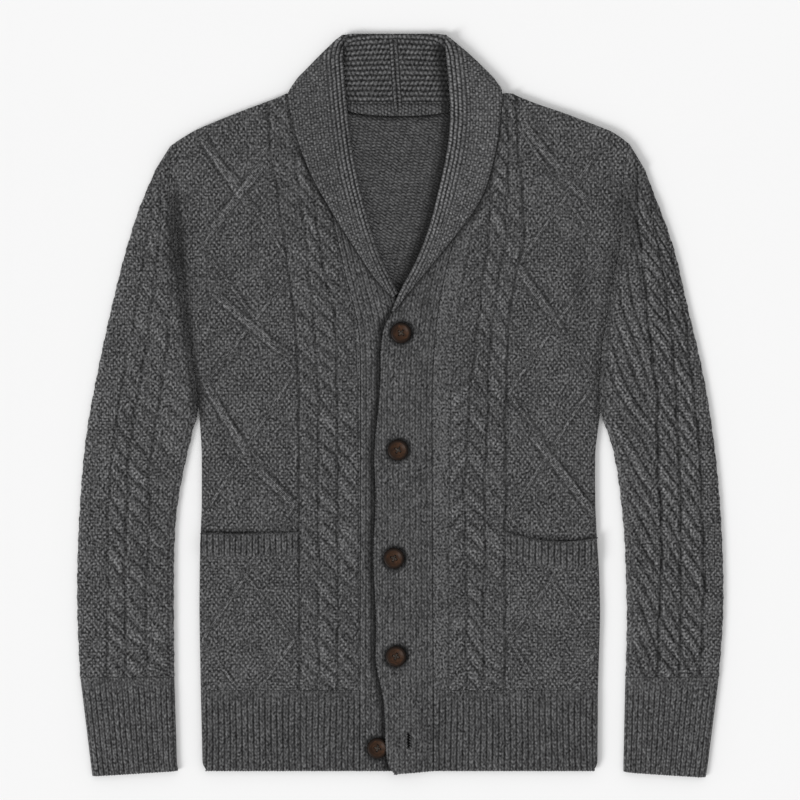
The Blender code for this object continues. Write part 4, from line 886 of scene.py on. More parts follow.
def stitches_group():
    """Knit loops over a place in wales and courses: V legs, or the bumps of moss stitch."""
    name = "knit stitches"
    if name in bpy.data.node_groups:
        return bpy.data.node_groups[name]
    floats = "NodeSocketFloat"
    group, w, given, out = new_group(
        name, [("Place", "NodeSocketVector", None), ("Moss", floats, 0.0), ("Wander", floats, 0.12),
               ("Lean", floats, 0.9), ("Bead", floats, 0.0)],
        [("Height", floats), ("Tone", floats)])
    drift = w.node("ShaderNodeSeparateXYZ", {0: w.noise(given["Place"], 0.55, 1.0, output="Color")}).outputs
    place = w.node("ShaderNodeSeparateXYZ", {0: given["Place"]}).outputs
    strength = w.math("MULTIPLY", given["Wander"], 4.0)
    u = w.math("MULTIPLY_ADD", w.math("SUBTRACT", drift[0], 0.5), strength, place[0])
    v = w.math("MULTIPLY_ADD", w.math("SUBTRACT", drift[1], 0.5), strength, place[1])
    s, column = w.math("FRACT", u), w.math("FLOOR", u)
    apart = w.math("ABSOLUTE", w.math("MULTIPLY_ADD", s, 2.0, -1.0))
    leg = w.math("GREATER_THAN", s, 0.5)
    climb = w.math("MULTIPLY_ADD", apart, w.math("MULTIPLY", given["Lean"], -1.0), v)
    q, row = w.math("FRACT", climb), w.math("FLOOR", climb)
    hump = lambda value, power: w.math("POWER", w.math("SINE", w.math("MULTIPLY", value, math.pi)), power)
    leg_height = w.math("MULTIPLY", hump(apart, 0.55), w.math("MULTIPLY_ADD", hump(q, 0.7), 0.75, 0.25))
    leg_tone = w.white_noise(w.math("MULTIPLY_ADD", column, 2.0, leg), row, 3.0)
    staggered = w.math("ADD", w.math("ADD", w.math("FRACT", w.math("MULTIPLY", column, 0.5)), v),
                       w.math("MULTIPLY", s, 0.3))
    bead = w.math("MULTIPLY", hump(s, 0.7), hump(w.math("FRACT", staggered), 0.8))
    leg_height = w.mix(given["Bead"], leg_height, bead)
    flat_q, flat_row = w.math("FRACT", v), w.math("FLOOR", v)
    odd = w.math("MODULO", w.math("ABSOLUTE", w.math("ADD", column, flat_row)), 2.0)
    odd = w.math("GREATER_THAN", odd, 0.5)
    bump = w.math("MULTIPLY", hump(s, 0.5), hump(flat_q, 0.6))
    seed_height = w.mix(odd, w.math("MULTIPLY", leg_height, 0.6), bump)
    seed_tone = w.mix(odd, leg_tone, w.white_noise(column, flat_row, 9.0))
    w.put(out["Height"], w.mix(given["Moss"], leg_height, seed_height))
    w.put(out["Tone"], w.mix(given["Moss"], leg_tone, seed_tone))
    return group


def marl_group():
    """Light and dark fibres spun together, broken by the stitches into short curls; the stitches' raised parts get a
    painted highlight and their gaps painted shade.
    """
    name = "marl yarn"
    if name in bpy.data.node_groups:
        return bpy.data.node_groups[name]
    floats = "NodeSocketFloat"
    group, w, given, out = new_group(
        name, [("Tone", floats, 0.5), ("Height", floats, 0.5), ("Contrast", floats, 1.0), ("Curl", floats, 220.0),
               ("Stitch", floats, 0.42)],
        [("Light", floats), ("Relief", floats), ("Fuzz", floats)])
    spot = w.node("ShaderNodeTexCoord").outputs["Object"]
    curls = w.node("ShaderNodeTexGabor", {"Vector": spot, "Scale": given["Curl"], "Frequency": 1.0,
                                          "Anisotropy": 0.0}).outputs["Value"]
    fibre = w.noise(spot, 900.0, 1.0)
    broad = w.noise(spot, 60.0, 3.0)
    light = w.math("MULTIPLY_ADD", w.math("SUBTRACT", curls, 0.5), w.math("MULTIPLY", given["Contrast"], 1.9), 0.46)
    light = w.math("MULTIPLY_ADD", w.math("SUBTRACT", given["Tone"], 0.5), 0.3, light)
    # Painted light and shade: the stitch's height, by the Stitch weight, makes its crests lighter and its gaps
    # darker.
    light = w.math("MULTIPLY_ADD", w.math("SUBTRACT", given["Height"], 0.5), given["Stitch"], light)
    light = w.math("MULTIPLY_ADD", w.math("SUBTRACT", broad, 0.5), w.math("MULTIPLY", given["Contrast"], 0.4), light)
    w.put(out["Light"], w.node("ShaderNodeClamp", {"Value": light}).outputs[0])
    w.put(out["Relief"], w.math("MULTIPLY_ADD", given["Height"], 0.7, w.math("MULTIPLY", curls, 0.8)))
    w.put(out["Fuzz"], fibre)
    return group


def wool(name, dark, light, depth, wander=0.12, contrast=1.0, curl=240.0, stitch=0.42, bead=0.0):
    """Marled wool: stitches from the knit map, with painted shade in the hollows and painted light from the shade
    attribute, and a matt soft surface.
    """
    made, w, shader = principled(name)
    kind = lambda label: w.node("ShaderNodeAttribute", attribute_name=label).outputs["Fac"]
    loops = w.node("ShaderNodeGroup", {"Place": w.node("ShaderNodeUVMap", uv_map="knit").outputs[0],
                                       "Moss": kind("moss"), "Wander": wander, "Lean": 0.9, "Bead": bead},
                   node_tree=stitches_group()).outputs
    yarn = w.node("ShaderNodeGroup", {"Tone": loops["Tone"], "Height": loops["Height"], "Contrast": contrast,
                                      "Curl": curl, "Stitch": stitch}, node_tree=marl_group()).outputs
    middle = tuple(0.5 * a + 0.36 * b for a, b in zip(dark, light))
    colour = w.colours(yarn["Light"], ((0.0, dark), (0.5, middle), (1.0, light)))
    # The base colour is multiplied by the painted light and shade that each point carries.
    w.put(shader["Base Color"], w.blend("MULTIPLY", 1.0, colour, kind("shade")))
    w.put(shader["Roughness"], w.math("MULTIPLY_ADD", yarn["Fuzz"], 0.12, 0.84))
    w.put(shader["Specular IOR Level"], 0.25)
    w.put(shader["Sheen Weight"], 0.05)
    w.put(shader["Sheen Roughness"], 0.5)
    w.put(shader["Normal"], w.bump(w.math("MULTIPLY_ADD", yarn["Fuzz"], 0.2, yarn["Relief"]), depth, 1.0))
    return made


# Kinds of knitting: how light the wool reads there, and how its stitches and fibres show.
WOOLS = {
    "cable": (1.0, dict(contrast=0.97, curl=255.0, stitch=0.62)),
    "sleeve": (1.05, dict(contrast=1.04, curl=255.0, stitch=0.62)),
    "rib": (0.88, dict(contrast=0.72, curl=240.0)),
    "collar": (0.97, dict(contrast=0.52, curl=290.0, stitch=0.66, bead=1.0, wander=0.13)),
    "inside": (0.74, dict(contrast=0.42, curl=300.0, stitch=0.66, bead=1.0, wander=0.14)),
}


def wool_of(kind):
    """The cardigan's wool, made once for each kind of knitting."""
    name = f"wool_{kind}"
    if name in bpy.data.materials:
        return bpy.data.materials[name]
    k = knit_settings()
    scale, habits = WOOLS[kind]
    tint = lambda colour: tuple(c * scale for c in tuple(colour))
    return wool(name, tint(k.wool_dark), tint(k.wool_light), k.stitch_depth, **habits)


# ---------------------------------------------------------------- settings
def length_setting(name, default, description, **limits):
    return FloatProperty(name=name, description=description, default=default, precision=5, unit="LENGTH", **limits)


def colour_setting(name, default, description):
    return FloatVectorProperty(name=name, description=description, subtype="COLOR", size=3, default=default,
                               min=0, max=1)


class CardiganKnit(bpy.types.PropertyGroup):
    wale: length_setting("Wale", 0.00295, "Width of one column of stitches", min=0.001, max=0.01)
    course: length_setting("Course", 0.0039, "Height of one row of stitches", min=0.001, max=0.01)
    grid: length_setting("Grid", 0.00125, "Spacing of the points that carry the cables", min=0.0008, max=0.01)
    rope_height: length_setting("Rope height", 0.0026, "How far a cable's strand stands up")
    lattice_height: length_setting("Lattice height", 0.0015, "Height of the travelling stitches")
    rib_height: length_setting("Rib height", 0.0013, "Height of a rib")
    ditch_depth: length_setting("Ditch depth", 0.0013, "Depth of the purl ditch beside a cable")
    stitch_depth: length_setting("Stitch depth", 0.0007, "Relief of a single stitch")
    wool_dark: colour_setting("Dark fibre", (0.0105, 0.0105, 0.011), "Darkest strands of the marl")
    wool_light: colour_setting("Light fibre", (0.194, 0.194, 0.196), "Lightest strands of the marl")


class CardiganTrim(bpy.types.PropertyGroup):
    edge_stitch: length_setting("Edge stitch", 0.0026, "Length of a stitch along a cast-off edge")
    edge_thickness: length_setting("Edge thickness", 0.0019, "Thickness of the cast-off edge's chain")
    seed: IntProperty(name="Seed", description="Seed of the chain's unevenness", default=7)
    button_brown: colour_setting("Button", (0.050, 0.023, 0.011), "Colour of the buttons")


class CardiganStage(bpy.types.PropertyGroup):
    distance: length_setting("Camera distance", 3.2, "Height of the camera over the garment")
    floor: colour_setting("Floor", (0.92, 0.92, 0.92), "Colour of the floor")
    sky: FloatProperty(name="Sky", description="Strength of the even light from all round", default=0.62)
    key: FloatProperty(name="Key", description="Strength of the soft key light", default=1.75)
    spread: FloatProperty(name="Key spread", description="How wide the key light looks from the garment",
                          default=math.radians(26.0), unit="ROTATION")


def mm(length):
    return length / MM


def knit_settings():
    return bpy.context.scene.cardigan_knit


# ---------------------------------------------------------------- pieces
class CARDIGAN_OT_back(bpy.types.Operator):
    """Knit the back and its hem, whose inside shows in the neck opening"""
    bl_idname = "cardigan.knit_back"
    bl_label = "Knit Back"

    def execute(self, context):
        plan = Plan("back", fractions(400, 3.0), fractions(560, 3.0))
        knit = Knit(plan)
        waver = 0.9 * np.sin(knit.x * TURN / 8.1 + 0.31 * knit.y) + 0.5 * np.sin(knit.x / 3.1 - knit.y / 5.0)
        knit.u, knit.v = (knit.y + waver) / 3.05, knit.x / 5.2 + 0.12 * knit.y
        knit.rise = unevenness(plan.points, 0.12)
        # Painted shadow of the left lapel's roll on the back.
        shaded_by(knit, outline("lapel_left"), 0.78, 13.0, 2.0)
        # Painted light: the back is made lighter beside the right lapel.
        away = reach_to(knit.points, outline("lapel_right"), closed=True)[0]
        knit.tone = 1.04 + 0.8 * np.exp(-(away / 7.0) ** 2)
        # Painted shadow below the collar stand.
        for side in SIDES:
            shaded_by(knit, outline(f"collar_{side}"), 0.66, 4.0, 1.2)
        top = (BACK_TOP + knit.rise + np.minimum(0, creased("back", plan.points))
               - plan.fall(west=(0.9, 5.0), east=(0.9, 5.0), north=(0.9, 5.0)))
        shell(plan, knit, top, "inside", under_step=8)

        plan = Plan("hem_back", fractions(400, 1.45), fractions(81, 6.0))
        knit = Knit(plan)
        knit.u = ribs(knit, knit.x, HEM_RIB, 0.4)
        top = BACK_TOP - 0.2 + knit.rise - plan.fall(south=(1.0, 1.6), west=(0.9, 3.0), east=(0.9, 3.0))
        shell(plan, knit, top, "inside", under_step=8)
        return {"FINISHED"}


class CARDIGAN_OT_fronts(bpy.types.Operator):
    """Knit both fronts with their three cables and the lattice beside them"""
    bl_idname = "cardigan.knit_fronts"
    bl_label = "Knit Fronts"

    def execute(self, context):
        k = knit_settings()
        for side in SIDES:
            name = f"front_{side}"
            right = side == "right"
            plan = Plan(name, fractions(165, mm(k.grid) * 1.15, dense=(0.60, 1.0) if right else (0.0, 0.44),
                                        dense_step=mm(k.grid) * 0.88), fractions(580, mm(k.grid)))
            nudge(plan)
            knit = Knit(plan)
            edges = ditch_lines(name, knit.y)
            beyond = np.abs(knit.x) > np.abs(edges[0]) + 1.0
            knit.moss = np.where(beyond, 1.0, 0.0)
            for number, (share, lean) in enumerate(FRONT_ROPES[side]):
                # cut sets the painted shade where a cable's strands cross.
                rope(knit, edges[number], edges[number + 1], 0.85 * share * mm(k.rope_height), ROPE_PITCH, lean,
                     294.25 + 6 * number, seed=3 * number + 1, cut=0.27)
            welt = outline(f"pocket_{side}")
            clear = beyond & (reach_to(plan.points, welt, closed=True)[0] > 9.0)
            for number, turns in enumerate(LATTICE[name]):
                ridge(knit, turns, mm(k.lattice_height), 2.0, clear, seed=1.7 * number)
            knit.finer(MOSS_SCALE)
            # Painted light and shade over the front's broad areas.
            paint_tone(knit, name)
            # Painted highlights along some stretches of the lattice.
            for number, stretch in enumerate(LATTICE_HIGHLIGHTS[name]):
                ridge(knit, stretch, 0.6 * mm(k.lattice_height), 4.6, beyond, seed=2.3 * number,
                      bright=4.6 if right else 3.6)
            # Ditches with painted shade, weaker higher up.
            for number, line in enumerate(edges):
                weak = 0.35 if number == 3 else 1.0
                ditch(knit, line, weak * mm(k.ditch_depth), seed=float(number),
                      dark=weak * np.interp(knit.y, (40, 140), (0.36, 0.22)))
            free = clear_of(plan.points, [outline(f"lapel_{side}"), welt])
            mouth = pocket_mouth(knit, welt)
            knit.rise = (knit.rise + unevenness(plan.points, 0.28) + creased(name, plan.points)) * free - mouth
            # Painted shade in the pocket's mouth.
            knit.dark = np.maximum(knit.dark, 0.52 * mouth)
            # Painted shadow of the lapel along its edge, as strong as under says.
            under = np.interp(knit.y, (106, 200, 235, 270, 300), (0.6, 0.62, 0.62, 0.45, 0.15))
            shaded_by(knit, outline(f"lapel_{side}"), (1.15 if right else 1.0) * under, 6.0, 1.2)
            # Painted shade along the armhole, on the front's side.
            shade_armhole(knit, side, plan.outer[plan.outer[:, 1] > -12])
            below = ease((6.0 - knit.y) / 26.0)
            loose = 0.3 + 0.9 * ease((226 - knit.y) / 46.0)
            outer = (2.0 * below, 7.0) if right else (2.2 * below, 8.0)
            top = (FRONT_TOP + knit.rise - plan.fall(south=(0.2, 1.0), outer=outer, inner=(0.25, 1.6))
                   - dip(plan.points, plan.outer, loose * (1 - below), 7.0))
            shell(plan, knit, top, "cable", under_step=12)
        return {"FINISHED"}


def pocket_mouth(knit, welt):
    """How far the front dips behind a welt's top edge."""
    low, high = welt.min(axis=0), welt.max(axis=0)
    top = welt[welt[:, 1] > 0.5 * (low[1] + high[1])]
    top = top[np.argsort(top[:, 0])]
    above = knit.y - np.interp(knit.x, top[:, 0], top[:, 1])
    share = np.clip(np.minimum(knit.x - low[0] + 6, high[0] - knit.x + 6) / 12.0, 0, 1)
    share *= 0.3 + 0.7 * ease((np.abs(knit.x) - 122.0) / 40.0)
    return share * np.where(above > 0, np.exp(-(above / 4.2) ** 2), 0)


class CARDIGAN_OT_hems(bpy.types.Operator):
    """Knit the ribbed hems of the fronts"""
    bl_idname = "cardigan.knit_hems"
    bl_label = "Knit Hems"

    def execute(self, context):
        k = knit_settings()
        for side in SIDES:
            name = f"hem_{side}"
            plan = Plan(name, fractions(162, 0.85), fractions(81, 2.6), spread=2)
            knit = Knit(plan)
            knit.tone = 0.9
            from_seam = np.abs(knit.x - (-41.5 if side == "right" else 32.0))
            wander = 0.5 * np.sin(knit.y / 19.0 + knit.x / 31.0)
            knit.u = ribs(knit, from_seam + wander * np.clip(from_seam / 12, 0, 1), HEM_RIB, mm(k.rib_height),
                          ease((-286.0 - knit.y) / 12.0))
            knit.rise += unevenness(plan.points, 0.2) + creased(name, plan.points)
            top = (HEM_TOP + 0.4 * ease((knit.y + 300) / 16) + knit.rise
                   - plan.fall(south=(1.3, 1.8), north=(0.2, 1.0), outer=(1.9, 7.0), inner=(0.6, 1.6)))
            shell(plan, knit, top, "rib", under_step=12)
        return {"FINISHED"}


class CARDIGAN_OT_sleeves(bpy.types.Operator):
    """Knit the sleeves as flattened tubes with two cables and a wide braid"""
    bl_idname = "cardigan.knit_sleeves"
    bl_label = "Knit Sleeves"

    def execute(self, context):
        k = knit_settings()
        for side in SIDES:
            name = f"sleeve_{side}"
            right = side == "right"
            plan = Plan(name, fractions(100, mm(k.grid) * 0.95), fractions(520, mm(k.grid)), above=SLEEVE_LEVEL)
            knit = Knit(plan)
            edges = ditch_lines(name, knit.y)
            knit.moss = np.where(np.abs(knit.x) > np.abs(edges[0]), 1.0, 0.0)
            soft = np.interp(knit.y, (-80, 20), (1.0, 0.6)) if right else 1.0
            lean, cut, height, pitch, braid_lean, braid_cut, ditches = SLEEVE_ROPES[side]
            for number in (0, 1):
                rope(knit, edges[number], edges[number + 1], soft * mm(k.rope_height), ROPE_PITCH, lean,
                     199.25 + 7 * number, seed=20 + number, cut=cut * soft)
            border = np.interp(knit.y, plan.inner[:, 1], plan.inner[:, 0]) + (-5.0 if right else 5.0)
            rope(knit, edges[2], border, height * soft * mm(k.rope_height), pitch,
                 braid_lean * np.maximum(np.abs(border - edges[2]), 4), 181.25, seed=30, cut=braid_cut * soft)
            # Ditches with painted shade.
            for number, (line, (deep, dark)) in enumerate(zip(edges, ditches)):
                ditch(knit, line, deep * mm(k.ditch_depth), 1.9, seed=5.0 + number, dark=dark)
            knit.finer(MOSS_SCALE)
            # Painted light and shade over the sleeve's broad areas.
            paint_tone(knit, name)
            away = plan.from_folds()
            knit.rise = ((knit.rise + unevenness(plan.points, 0.35) + creased(name, plan.points))
                         * np.clip(away / 9.0, 0, 1) ** 0.7 * np.clip((247 - knit.y) / 40, 0.2, 1))
            fold = plan.fall(outer=(4.4, 11.0), inner=(4.4 * ease((-2.0 - knit.y) / 16.0), 11.0))
            armhole = stretch_of(plan.loop, *(((-202.5, -7), (-232.5, 263)) if right
                                              else ((227.5, 263), (199, -7))))
            tuck = 1.0 + (1.7 if right else 1.4) * ease((226 - knit.y) / 46.0)
            tucked = dip(plan.points, armhole, tuck, 9.0)
            cap = plan.fall(north=(1.5, 6.0), south=(0.3, 1.0))
            # Painted shade along the armhole, on the sleeve's side.
            shade_armhole(knit, side, armhole, over=False)
            under = rounded(away / 5.0, 3.0)
            top = np.maximum(SLEEVE_TOP + knit.rise - np.maximum(np.maximum(fold, tucked), cap), under + 0.4)
            bumpy_folds(plan)
            tube(plan, knit, top, under, "sleeve", lifted=lambda y: ease((y + 16.0) / 14.0))
        return {"FINISHED"}


def bumpy_folds(plan):
    """Moves the folded edges in and out a little, as the stitches there stand in profile."""
    for column, share in ((0, 1.0), (-1, 1.0), (1, 0.8), (2, 0.5), (-2, 0.8), (-3, 0.5)):
        outward = -1.0 if column >= 0 else 1.0
        y = plan.grid[:, column, 1]
        wave = 0.5 * np.sin(y * TURN / ROPE_PITCH + 0.3) + 0.35 * np.sin(y * TURN / 7.1 + 1.1)
        plan.grid[:, column, 0] += outward * share * 0.55 * wave
    plan.points = plan.grid.reshape(-1, 2)


class CARDIGAN_OT_cuffs(bpy.types.Operator):
    """Knit the ribbed cuffs"""
    bl_idname = "cardigan.knit_cuffs"
    bl_label = "Knit Cuffs"

    def execute(self, context):
        k = knit_settings()
        for side in SIDES:
            plan = Plan(f"cuff_{side}", fractions(92, 0.8), fractions(96, 2.6), above=CUFF_LEVEL, spread=2)
            knit = Knit(plan)
            middle = 0.5 * (plan.grid[:, :1] + plan.grid[:, -1:])
            width = np.hypot(*(plan.grid[:, -1] - plan.grid[:, 0]).T)
            across = (plan.grid - middle)[..., 0] * (90.0 / width)[:, None]
            knit.u = ribs(knit, across.ravel(), CUFF_RIB, mm(k.rib_height), ease((-275.0 - knit.y) / 14.0), 0.45)
            away = plan.from_folds()
            knit.rise = (knit.rise + unevenness(plan.points, 0.2)) * np.clip(away / 5.0, 0.15, 1)
            under = rounded(away / 5.0, 2.9)
            top = np.maximum(CUFF_TOP + knit.rise - plan.fall(west=(4.0, 10.0), east=(4.0, 10.0), south=(1.2, 1.8),
                                                              north=(0.2, 1.0)), under + 0.4)
            tube(plan, knit, top, under, "rib")
        return {"FINISHED"}


def over_level(points):
    """Top of the over band without its ribs."""
    share = np.clip((RAMP[1] - points[:, 0]) / (RAMP[1] - RAMP[0]), 0, 1)
    return FRONT_TOP + (OVER_TOP - FRONT_TOP) * share


def button_lift(points):
    """The over band's edge rides up over the undone button beneath it."""
    x, y = BUTTONS[4]
    away = np.hypot(points[:, 0] - x, points[:, 1] - y)
    return 4.1 * ease((30.0 - away) / 17.0)


def buttonhole(grow=0.0):
    """Outline of the slit in the over band, or of the sewing a little way outside it."""
    x, y, width, length = BUTTONHOLE
    radius, reach = grow + width / 2, (length - width) / 2
    return np.vstack([circle(x, y + reach, radius, 16)[:9], circle(x, y - reach, radius, 16)[8:]])


class CARDIGAN_OT_bands(bpy.types.Operator):
    """Knit the under band and the over band with its buttonhole"""
    bl_idname = "cardigan.knit_bands"
    bl_label = "Knit Bands"

    def execute(self, context):
        k = knit_settings()
        plan = Plan("band_right", fractions(54, 1.1), fractions(570, 2.2))
        knit = Knit(plan)
        seam = np.interp(knit.y, plan.outer[:, 1], plan.outer[:, 0])
        knit.u = ribs(knit, knit.x - seam, BAND_RIB, 0.7 * mm(k.rib_height), valley=0.3)
        lapel, over, button = outline("lapel_right"), outline("band_left"), circle(*BUTTONS[4], 10.6)
        knit.rise = (knit.rise + unevenness(plan.points, 0.2)) * clear_of(plan.points, [lapel, over, button])
        # Painted shadows of the over band, the lapel and the button on the under band.
        shaded_by(knit, over, 0.8, 7.0, 2.4)
        shaded_by(knit, lapel, 0.62, 4.6, 0.4)
        shaded_by(knit, button, 0.75, 5.5, 0.5)
        top = FRONT_TOP + knit.rise - plan.fall(outer=(0.25, 1.6), south=(1.3, 1.8), inner=(1.0, 2.0))
        shell(plan, knit, top, "rib", under_step=10)

        plan = Plan("band_left", fractions(54, 1.0), fractions(555, 1.9))
        knit = Knit(plan)
        seam = np.interp(knit.y, plan.outer[:, 1], plan.outer[:, 0])
        knit.u = ribs(knit, seam - knit.x, BAND_RIB, 0.45 * mm(k.rib_height), valley=0.2)
        lapel, buttons = outline("lapel_left"), [circle(x, y, 10.9) for x, y in BUTTONS[:4]]
        knit.rise = (knit.rise + unevenness(plan.points, 0.25)) * clear_of(plan.points, [lapel] + buttons)
        knit.tone = 0.97
        # Painted shadows of the lapel and the buttons on the over band.
        shaded_by(knit, lapel, 0.5, 4.2, 0.4)
        for button in buttons:
            shaded_by(knit, button, 0.78, 4.4)
        top = (over_level(plan.points) + button_lift(plan.points) + knit.rise
               - plan.fall(inner=(2.2, 4.6)) * clear_of(plan.points, [lapel], 0.0, 1.0)
               - plan.fall(outer=(0.25, 1.6), south=(1.3, 1.8)))
        shell(plan, knit, top, "rib", under_step=1, hole=buttonhole())
        return {"FINISHED"}


def bent_roll(roll, side):
    """The line of a lapel's roll, which bends into the collar's top row at its upper end."""
    bend = np.array(TOP_ROW[1:6] if side == "right" else TOP_ROW[9:4:-1])
    return np.vstack([roll[roll[:, 1] < 349.0], bend])


class CARDIGAN_OT_lapels(bpy.types.Operator):
    """Knit the turned-over shawl collar, whose ribs follow its roll"""
    bl_idname = "cardigan.knit_lapels"
    bl_label = "Knit Lapels"

    def execute(self, context):
        k = knit_settings()
        for side in SIDES:
            name = f"lapel_{side}"
            right = side == "right"
            plan = Plan(name, fractions(46, 0.75), fractions(290, 1.05))
            nudge(plan)
            bow(plan)
            knit = Knit(plan)
            # Painted light: both lapels are made lighter, the left one more, besides their painted areas.
            paint_tone(knit, name, 1.07 if right else 1.28)
            out, _, along = reach_to(plan.points, bent_roll(plan.inner, side))
            u = out / np.interp(knit.y, (110, 200, 260), (3.6, 3.9, 4.2))
            bead = np.cos(along * TURN / LAPEL_BEAD + math.pi * (np.floor(u) % 2))
            off = np.abs(2 * (u % 1) - 1)
            clear = 0.55 + 0.45 * ease((knit.y - 150) / 80.0)
            fade = np.clip(1.2 - out / 22.0, 0.15, 1.0) * clear * np.clip((out + 1.5) / 3.0, 0, 1)
            knit.rise = 1.3 * mm(k.rib_height) * (np.clip(1 - off ** 2.4, 0, 1) - 0.3) * fade
            knit.rise += unevenness(plan.points, 0.2) + 0.12 * bead * (1 - off)
            # Painted shade in the rib valleys near the roll, and a painted highlight on the beads along the ribs.
            knit.dark = (0.56 if right else 0.66) * fade * valley_of(off, 0.45, 1.2)
            knit.strand = 0.75 * bead * (1 - off ** 2) * np.clip(0.3 + fade, 0, 1)
            knit.moss = np.clip(1.5 - 2.2 * fade, 0, 1)
            knit.u, knit.v = u, along / LAPEL_BEAD
            knit.finer(1.45)
            fall = np.zeros(len(plan.points))
            free, outside = plan.outer[plan.outer[:, 1] <= 316.0], plan.outer[plan.outer[:, 1] >= 314.0]
            for line, depth, width in ((plan.inner, 3.0, 8.0), (free, 2.8, 4.8), (outside, 6.0, 13.0)):
                fall = np.maximum(fall, rounded(reach_to(plan.points, line)[0] / width, depth))
            raised = 0.0 if right else over_level(plan.points) - FRONT_TOP
            shell(plan, knit, LAPEL_TOP + raised + knit.rise - fall, "collar",
                  under_step=5, reach=2)
        return {"FINISHED"}


class CARDIGAN_OT_collars(bpy.types.Operator):
    """Knit the collar's back stand with its centre seam and its plain edging"""
    bl_idname = "cardigan.knit_collars"
    bl_label = "Knit Collar Stand"

    def execute(self, context):
        for side in SIDES:
            plan = Plan(f"collar_{side}", fractions(50, 0.75), fractions(79, 0.7))
            bow(plan)
            nudge(plan)
            knit = Knit(plan)
            self.rows(knit)
            edging = knit.y < 302.5
            groove = np.exp(-((knit.y - 302.0) / 1.3) ** 2)
            # Painted shade in the groove along the edging's top.
            knit.put(edging, rise=0.4 - 0.5 * groove, u=knit.x / 3.4, v=knit.y / 3.6, dark=0.35 * groove,
                     strand=0.7 * np.sin(knit.x * 1.7) * np.sin(knit.y * 1.6))
            self.centre_seam(knit, plan.inner, 0 if side == "right" else math.pi)
            knit.tone = 0.88
            # Painted shadow of each lapel's roll on the stand.
            if side == "left":
                strong, width, flat = 0.8 * ease((368 - knit.y) / 12.0), ((292, 325, 360), (8.0, 11.0, 15.0)), 4.6
            else:
                strong = np.interp(knit.y, (292, 330, 352, 360, 368), (0.22, 0.32, 0.5, 0.5, 0.0))
                width, flat = ((292, 335, 360), (6.0, 6.0, 8.0)), 1.4
            shaded_by(knit, outline(f"lapel_{side}"), strong, np.interp(knit.y, *width), flat)
            knit.rise += unevenness(plan.points, 0.15)
            top = COLLAR_TOP + knit.rise - plan.fall(north=(2.8, 7.0), south=(1.9, 3.2), inner=(0.4, 1.4))
            shell(plan, knit, top, "collar", under_step=5, reach=2)
        return {"FINISHED"}

    def rows(self, knit):
        """Scalloped rows across the stand, with painted shade in their valleys and a painted highlight on their
        crests and on the rows above the top row; those above the top row follow it into the rolls.
        """
        away, turn, along = reach_to(knit.points, TOP_ROW)
        outside = turn > 0
        bowed = 2.2 * ((knit.x + 7) / 50) ** 2 * np.clip((knit.y - 318) / 40, 0, 1)
        rows = np.where(outside, -away, 367.2 - knit.y - bowed) / 5.2
        along = np.where(outside, along - 48.0, knit.x) * TURN / 4.5
        number = np.floor(rows)
        scallop = np.sin(along + 2.1 * number + 0.8 * np.sin(knit.x / 9.0 + number))
        off = np.abs(2 * ((rows + 0.15 * scallop) % 1) - 1)
        patchy = 0.8 + 0.2 * np.sin(knit.x / 4.7 + 2.3 * number) * np.sin(knit.x / 11.0 + number)
        knit.u, knit.v = rows, along / TURN
        knit.rise = 1.3 * mm(knit_settings().rib_height) * (np.clip(1 - off ** 2.2, 0, 1) - 0.3)
        knit.dark = np.where(outside & (away > 3.0), 0.0, 0.45 * patchy * valley_of(off, 0.45, 1.3))
        knit.strand = np.where(outside, 0.9, 0.0) + 0.35 * scallop * (1 - off ** 2)

    def centre_seam(self, knit, seam, shift):
        """A raised chain of slanting stitches beside the centre back, with a painted highlight on its beads and
        painted shade in the ditch beside it and along the seam.
        """
        off = reach_to(knit.points, seam)[0]
        bead = np.sin(knit.y * TURN / 4.1 + shift + 0.35 * off)
        ditch_side = np.exp(-((off - 4.4) / 1.1) ** 2)
        chain = (off < 4.4) & (knit.y < 367) & (knit.y > 297)
        knit.put(chain, rise=0.9 + 0.35 * bead - 1.2 * ditch_side, u=off / 4.4, v=knit.y / 4.0,
                 dark=0.6 * np.maximum(ditch_side, np.exp(-(off / 0.9) ** 2)),
                 strand=0.6 + 1.3 * bead * (1 - np.abs(off - 2.2) / 2.4))


class CARDIGAN_OT_pockets(bpy.types.Operator):
    """Knit the ribbed pocket welts"""
    bl_idname = "cardigan.knit_pockets"
    bl_label = "Knit Pocket Welts"

    def execute(self, context):
        k = knit_settings()
        for side in SIDES:
            plan = Plan(f"pocket_{side}", fractions(97, 0.85), fractions(25, 1.4))
            nudge(plan)
            knit = Knit(plan)
            low, high = (np.interp(knit.x, *edge.T) for edge in (plan.south, plan.north))
            down = (high - knit.y) / (high - low)
            fade = np.clip(down / 0.12, 0, 1) * np.clip((0.97 - down) / 0.12, 0, 1)
            slant = 0.5 * np.sin(knit.x / 9.0) * down
            knit.u = ribs(knit, knit.x - plan.south[0, 0] + slant, WELT_RIB[side], mm(k.rib_height), fade, 0.75)
            knit.rise += unevenness(plan.points, 0.15)
            outer = {} if side == "right" else dict(outer=(1.6, 5.0))
            top = WELT_TOP + knit.rise - plan.fall(north=(1.6, 2.4), south=(1.9, 12.0), inner=(2.2, 16.0), **outer)
            shell(plan, knit, top, "rib", under_step=8, reach=2)
        return {"FINISHED"}


